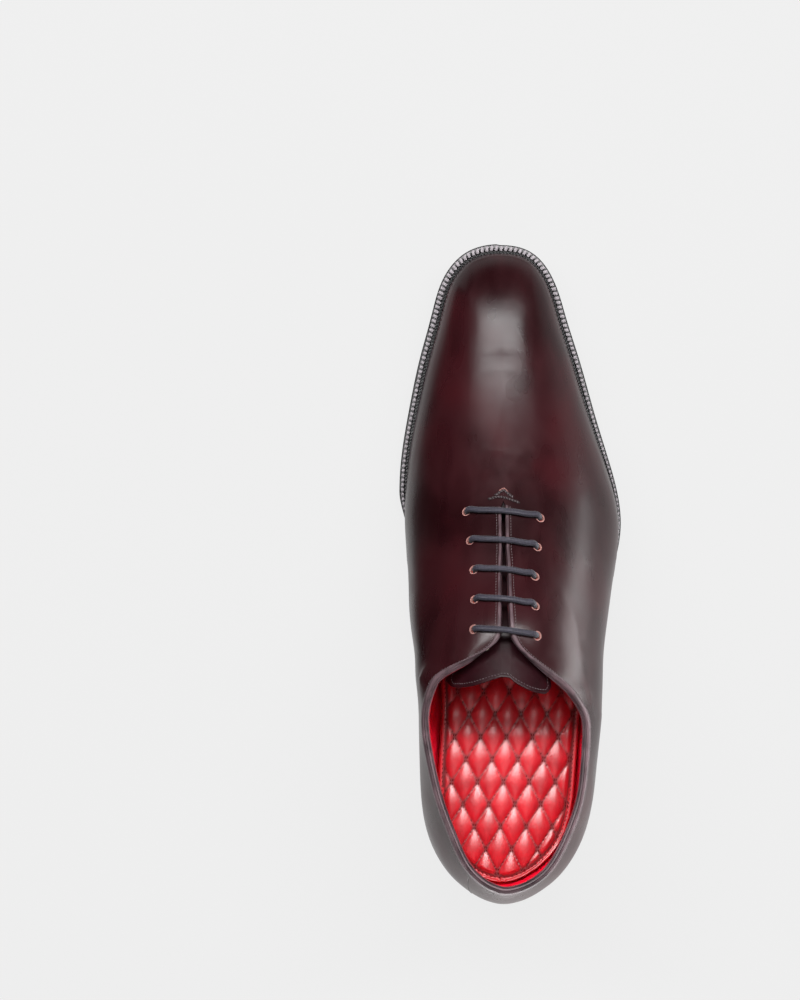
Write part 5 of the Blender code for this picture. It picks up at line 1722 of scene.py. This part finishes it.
class OXFORD_OT_edge(ShoeStep, bpy.types.Operator):
    """Binds, burnishes and stitches the top line and the lacing edges"""

    bl_idname = "oxford.edge"
    bl_label = "Edge band"

    def build(self, looks):
        make_edge_band(looks)
        make_edge_stitches(looks)


class OXFORD_OT_lining(ShoeStep, bpy.types.Operator):
    """Lines the quarters"""

    bl_idname = "oxford.lining"
    bl_label = "Lining"

    def build(self, looks):
        make_lining(looks)


class OXFORD_OT_tongue(ShoeStep, bpy.types.Operator):
    """Cuts, lines and stitches the tongue"""

    bl_idname = "oxford.tongue"
    bl_label = "Tongue"

    def build(self, looks):
        make_tongue(looks, shared_instep()[0])


class OXFORD_OT_bar_tack(ShoeStep, bpy.types.Operator):
    """Sews the tack at the slit's end"""

    bl_idname = "oxford.bar_tack"
    bl_label = "Bar tack"

    def build(self, looks):
        make_bar_tack(looks, shared_instep()[0])


class OXFORD_OT_sock(ShoeStep, bpy.types.Operator):
    """Quilts the padded sock"""

    bl_idname = "oxford.sock"
    bl_label = "Quilted sock"

    def build(self, looks):
        make_sock(looks)


class OXFORD_OT_welt(ShoeStep, bpy.types.Operator):
    """Grooves and stitches the welt"""

    bl_idname = "oxford.welt"
    bl_label = "Welt"

    def build(self, looks):
        make_welt(looks)


class OXFORD_OT_structure(ShoeStep, bpy.types.Operator):
    """Finishes the sole, the heel and the hidden pieces"""

    bl_idname = "oxford.structure"
    bl_label = "Sole, heel and inner pieces"

    def build(self, looks):
        dress_structure(looks)


STEPS = (
    OXFORD_OT_stage, OXFORD_OT_lace, OXFORD_OT_upper, OXFORD_OT_edge, OXFORD_OT_lining,
    OXFORD_OT_tongue, OXFORD_OT_bar_tack, OXFORD_OT_sock, OXFORD_OT_welt, OXFORD_OT_structure,
)


class OXFORD_PT_steps(bpy.types.Panel):
    """The shoe's colours, sizes and building steps"""

    bl_idname = "OXFORD_PT_steps"
    bl_label = "Oxford shoe"
    bl_space_type = "VIEW_3D"
    bl_region_type = "UI"
    bl_category = "Oxford shoe"

    def draw(self, context):
        looks = context.scene.oxford_looks
        for key in OxfordLooks.__annotations__:
            self.layout.prop(looks, key)
        for step in STEPS:
            self.layout.operator(step.bl_idname)


CLASSES = (OxfordLooks, *STEPS, OXFORD_PT_steps)


def register():
    for cls in CLASSES:
        bpy.utils.register_class(cls)
    bpy.types.Scene.oxford_looks = bpy.props.PointerProperty(type=OxfordLooks)


def unregister():
    del bpy.types.Scene.oxford_looks
    for cls in reversed(CLASSES):
        bpy.utils.unregister_class(cls)


def main():
    register()
    for step in STEPS:
        group, name = step.bl_idname.split(".")
        getattr(getattr(bpy.ops, group), name)()


if __name__ == "__main__":
    main()
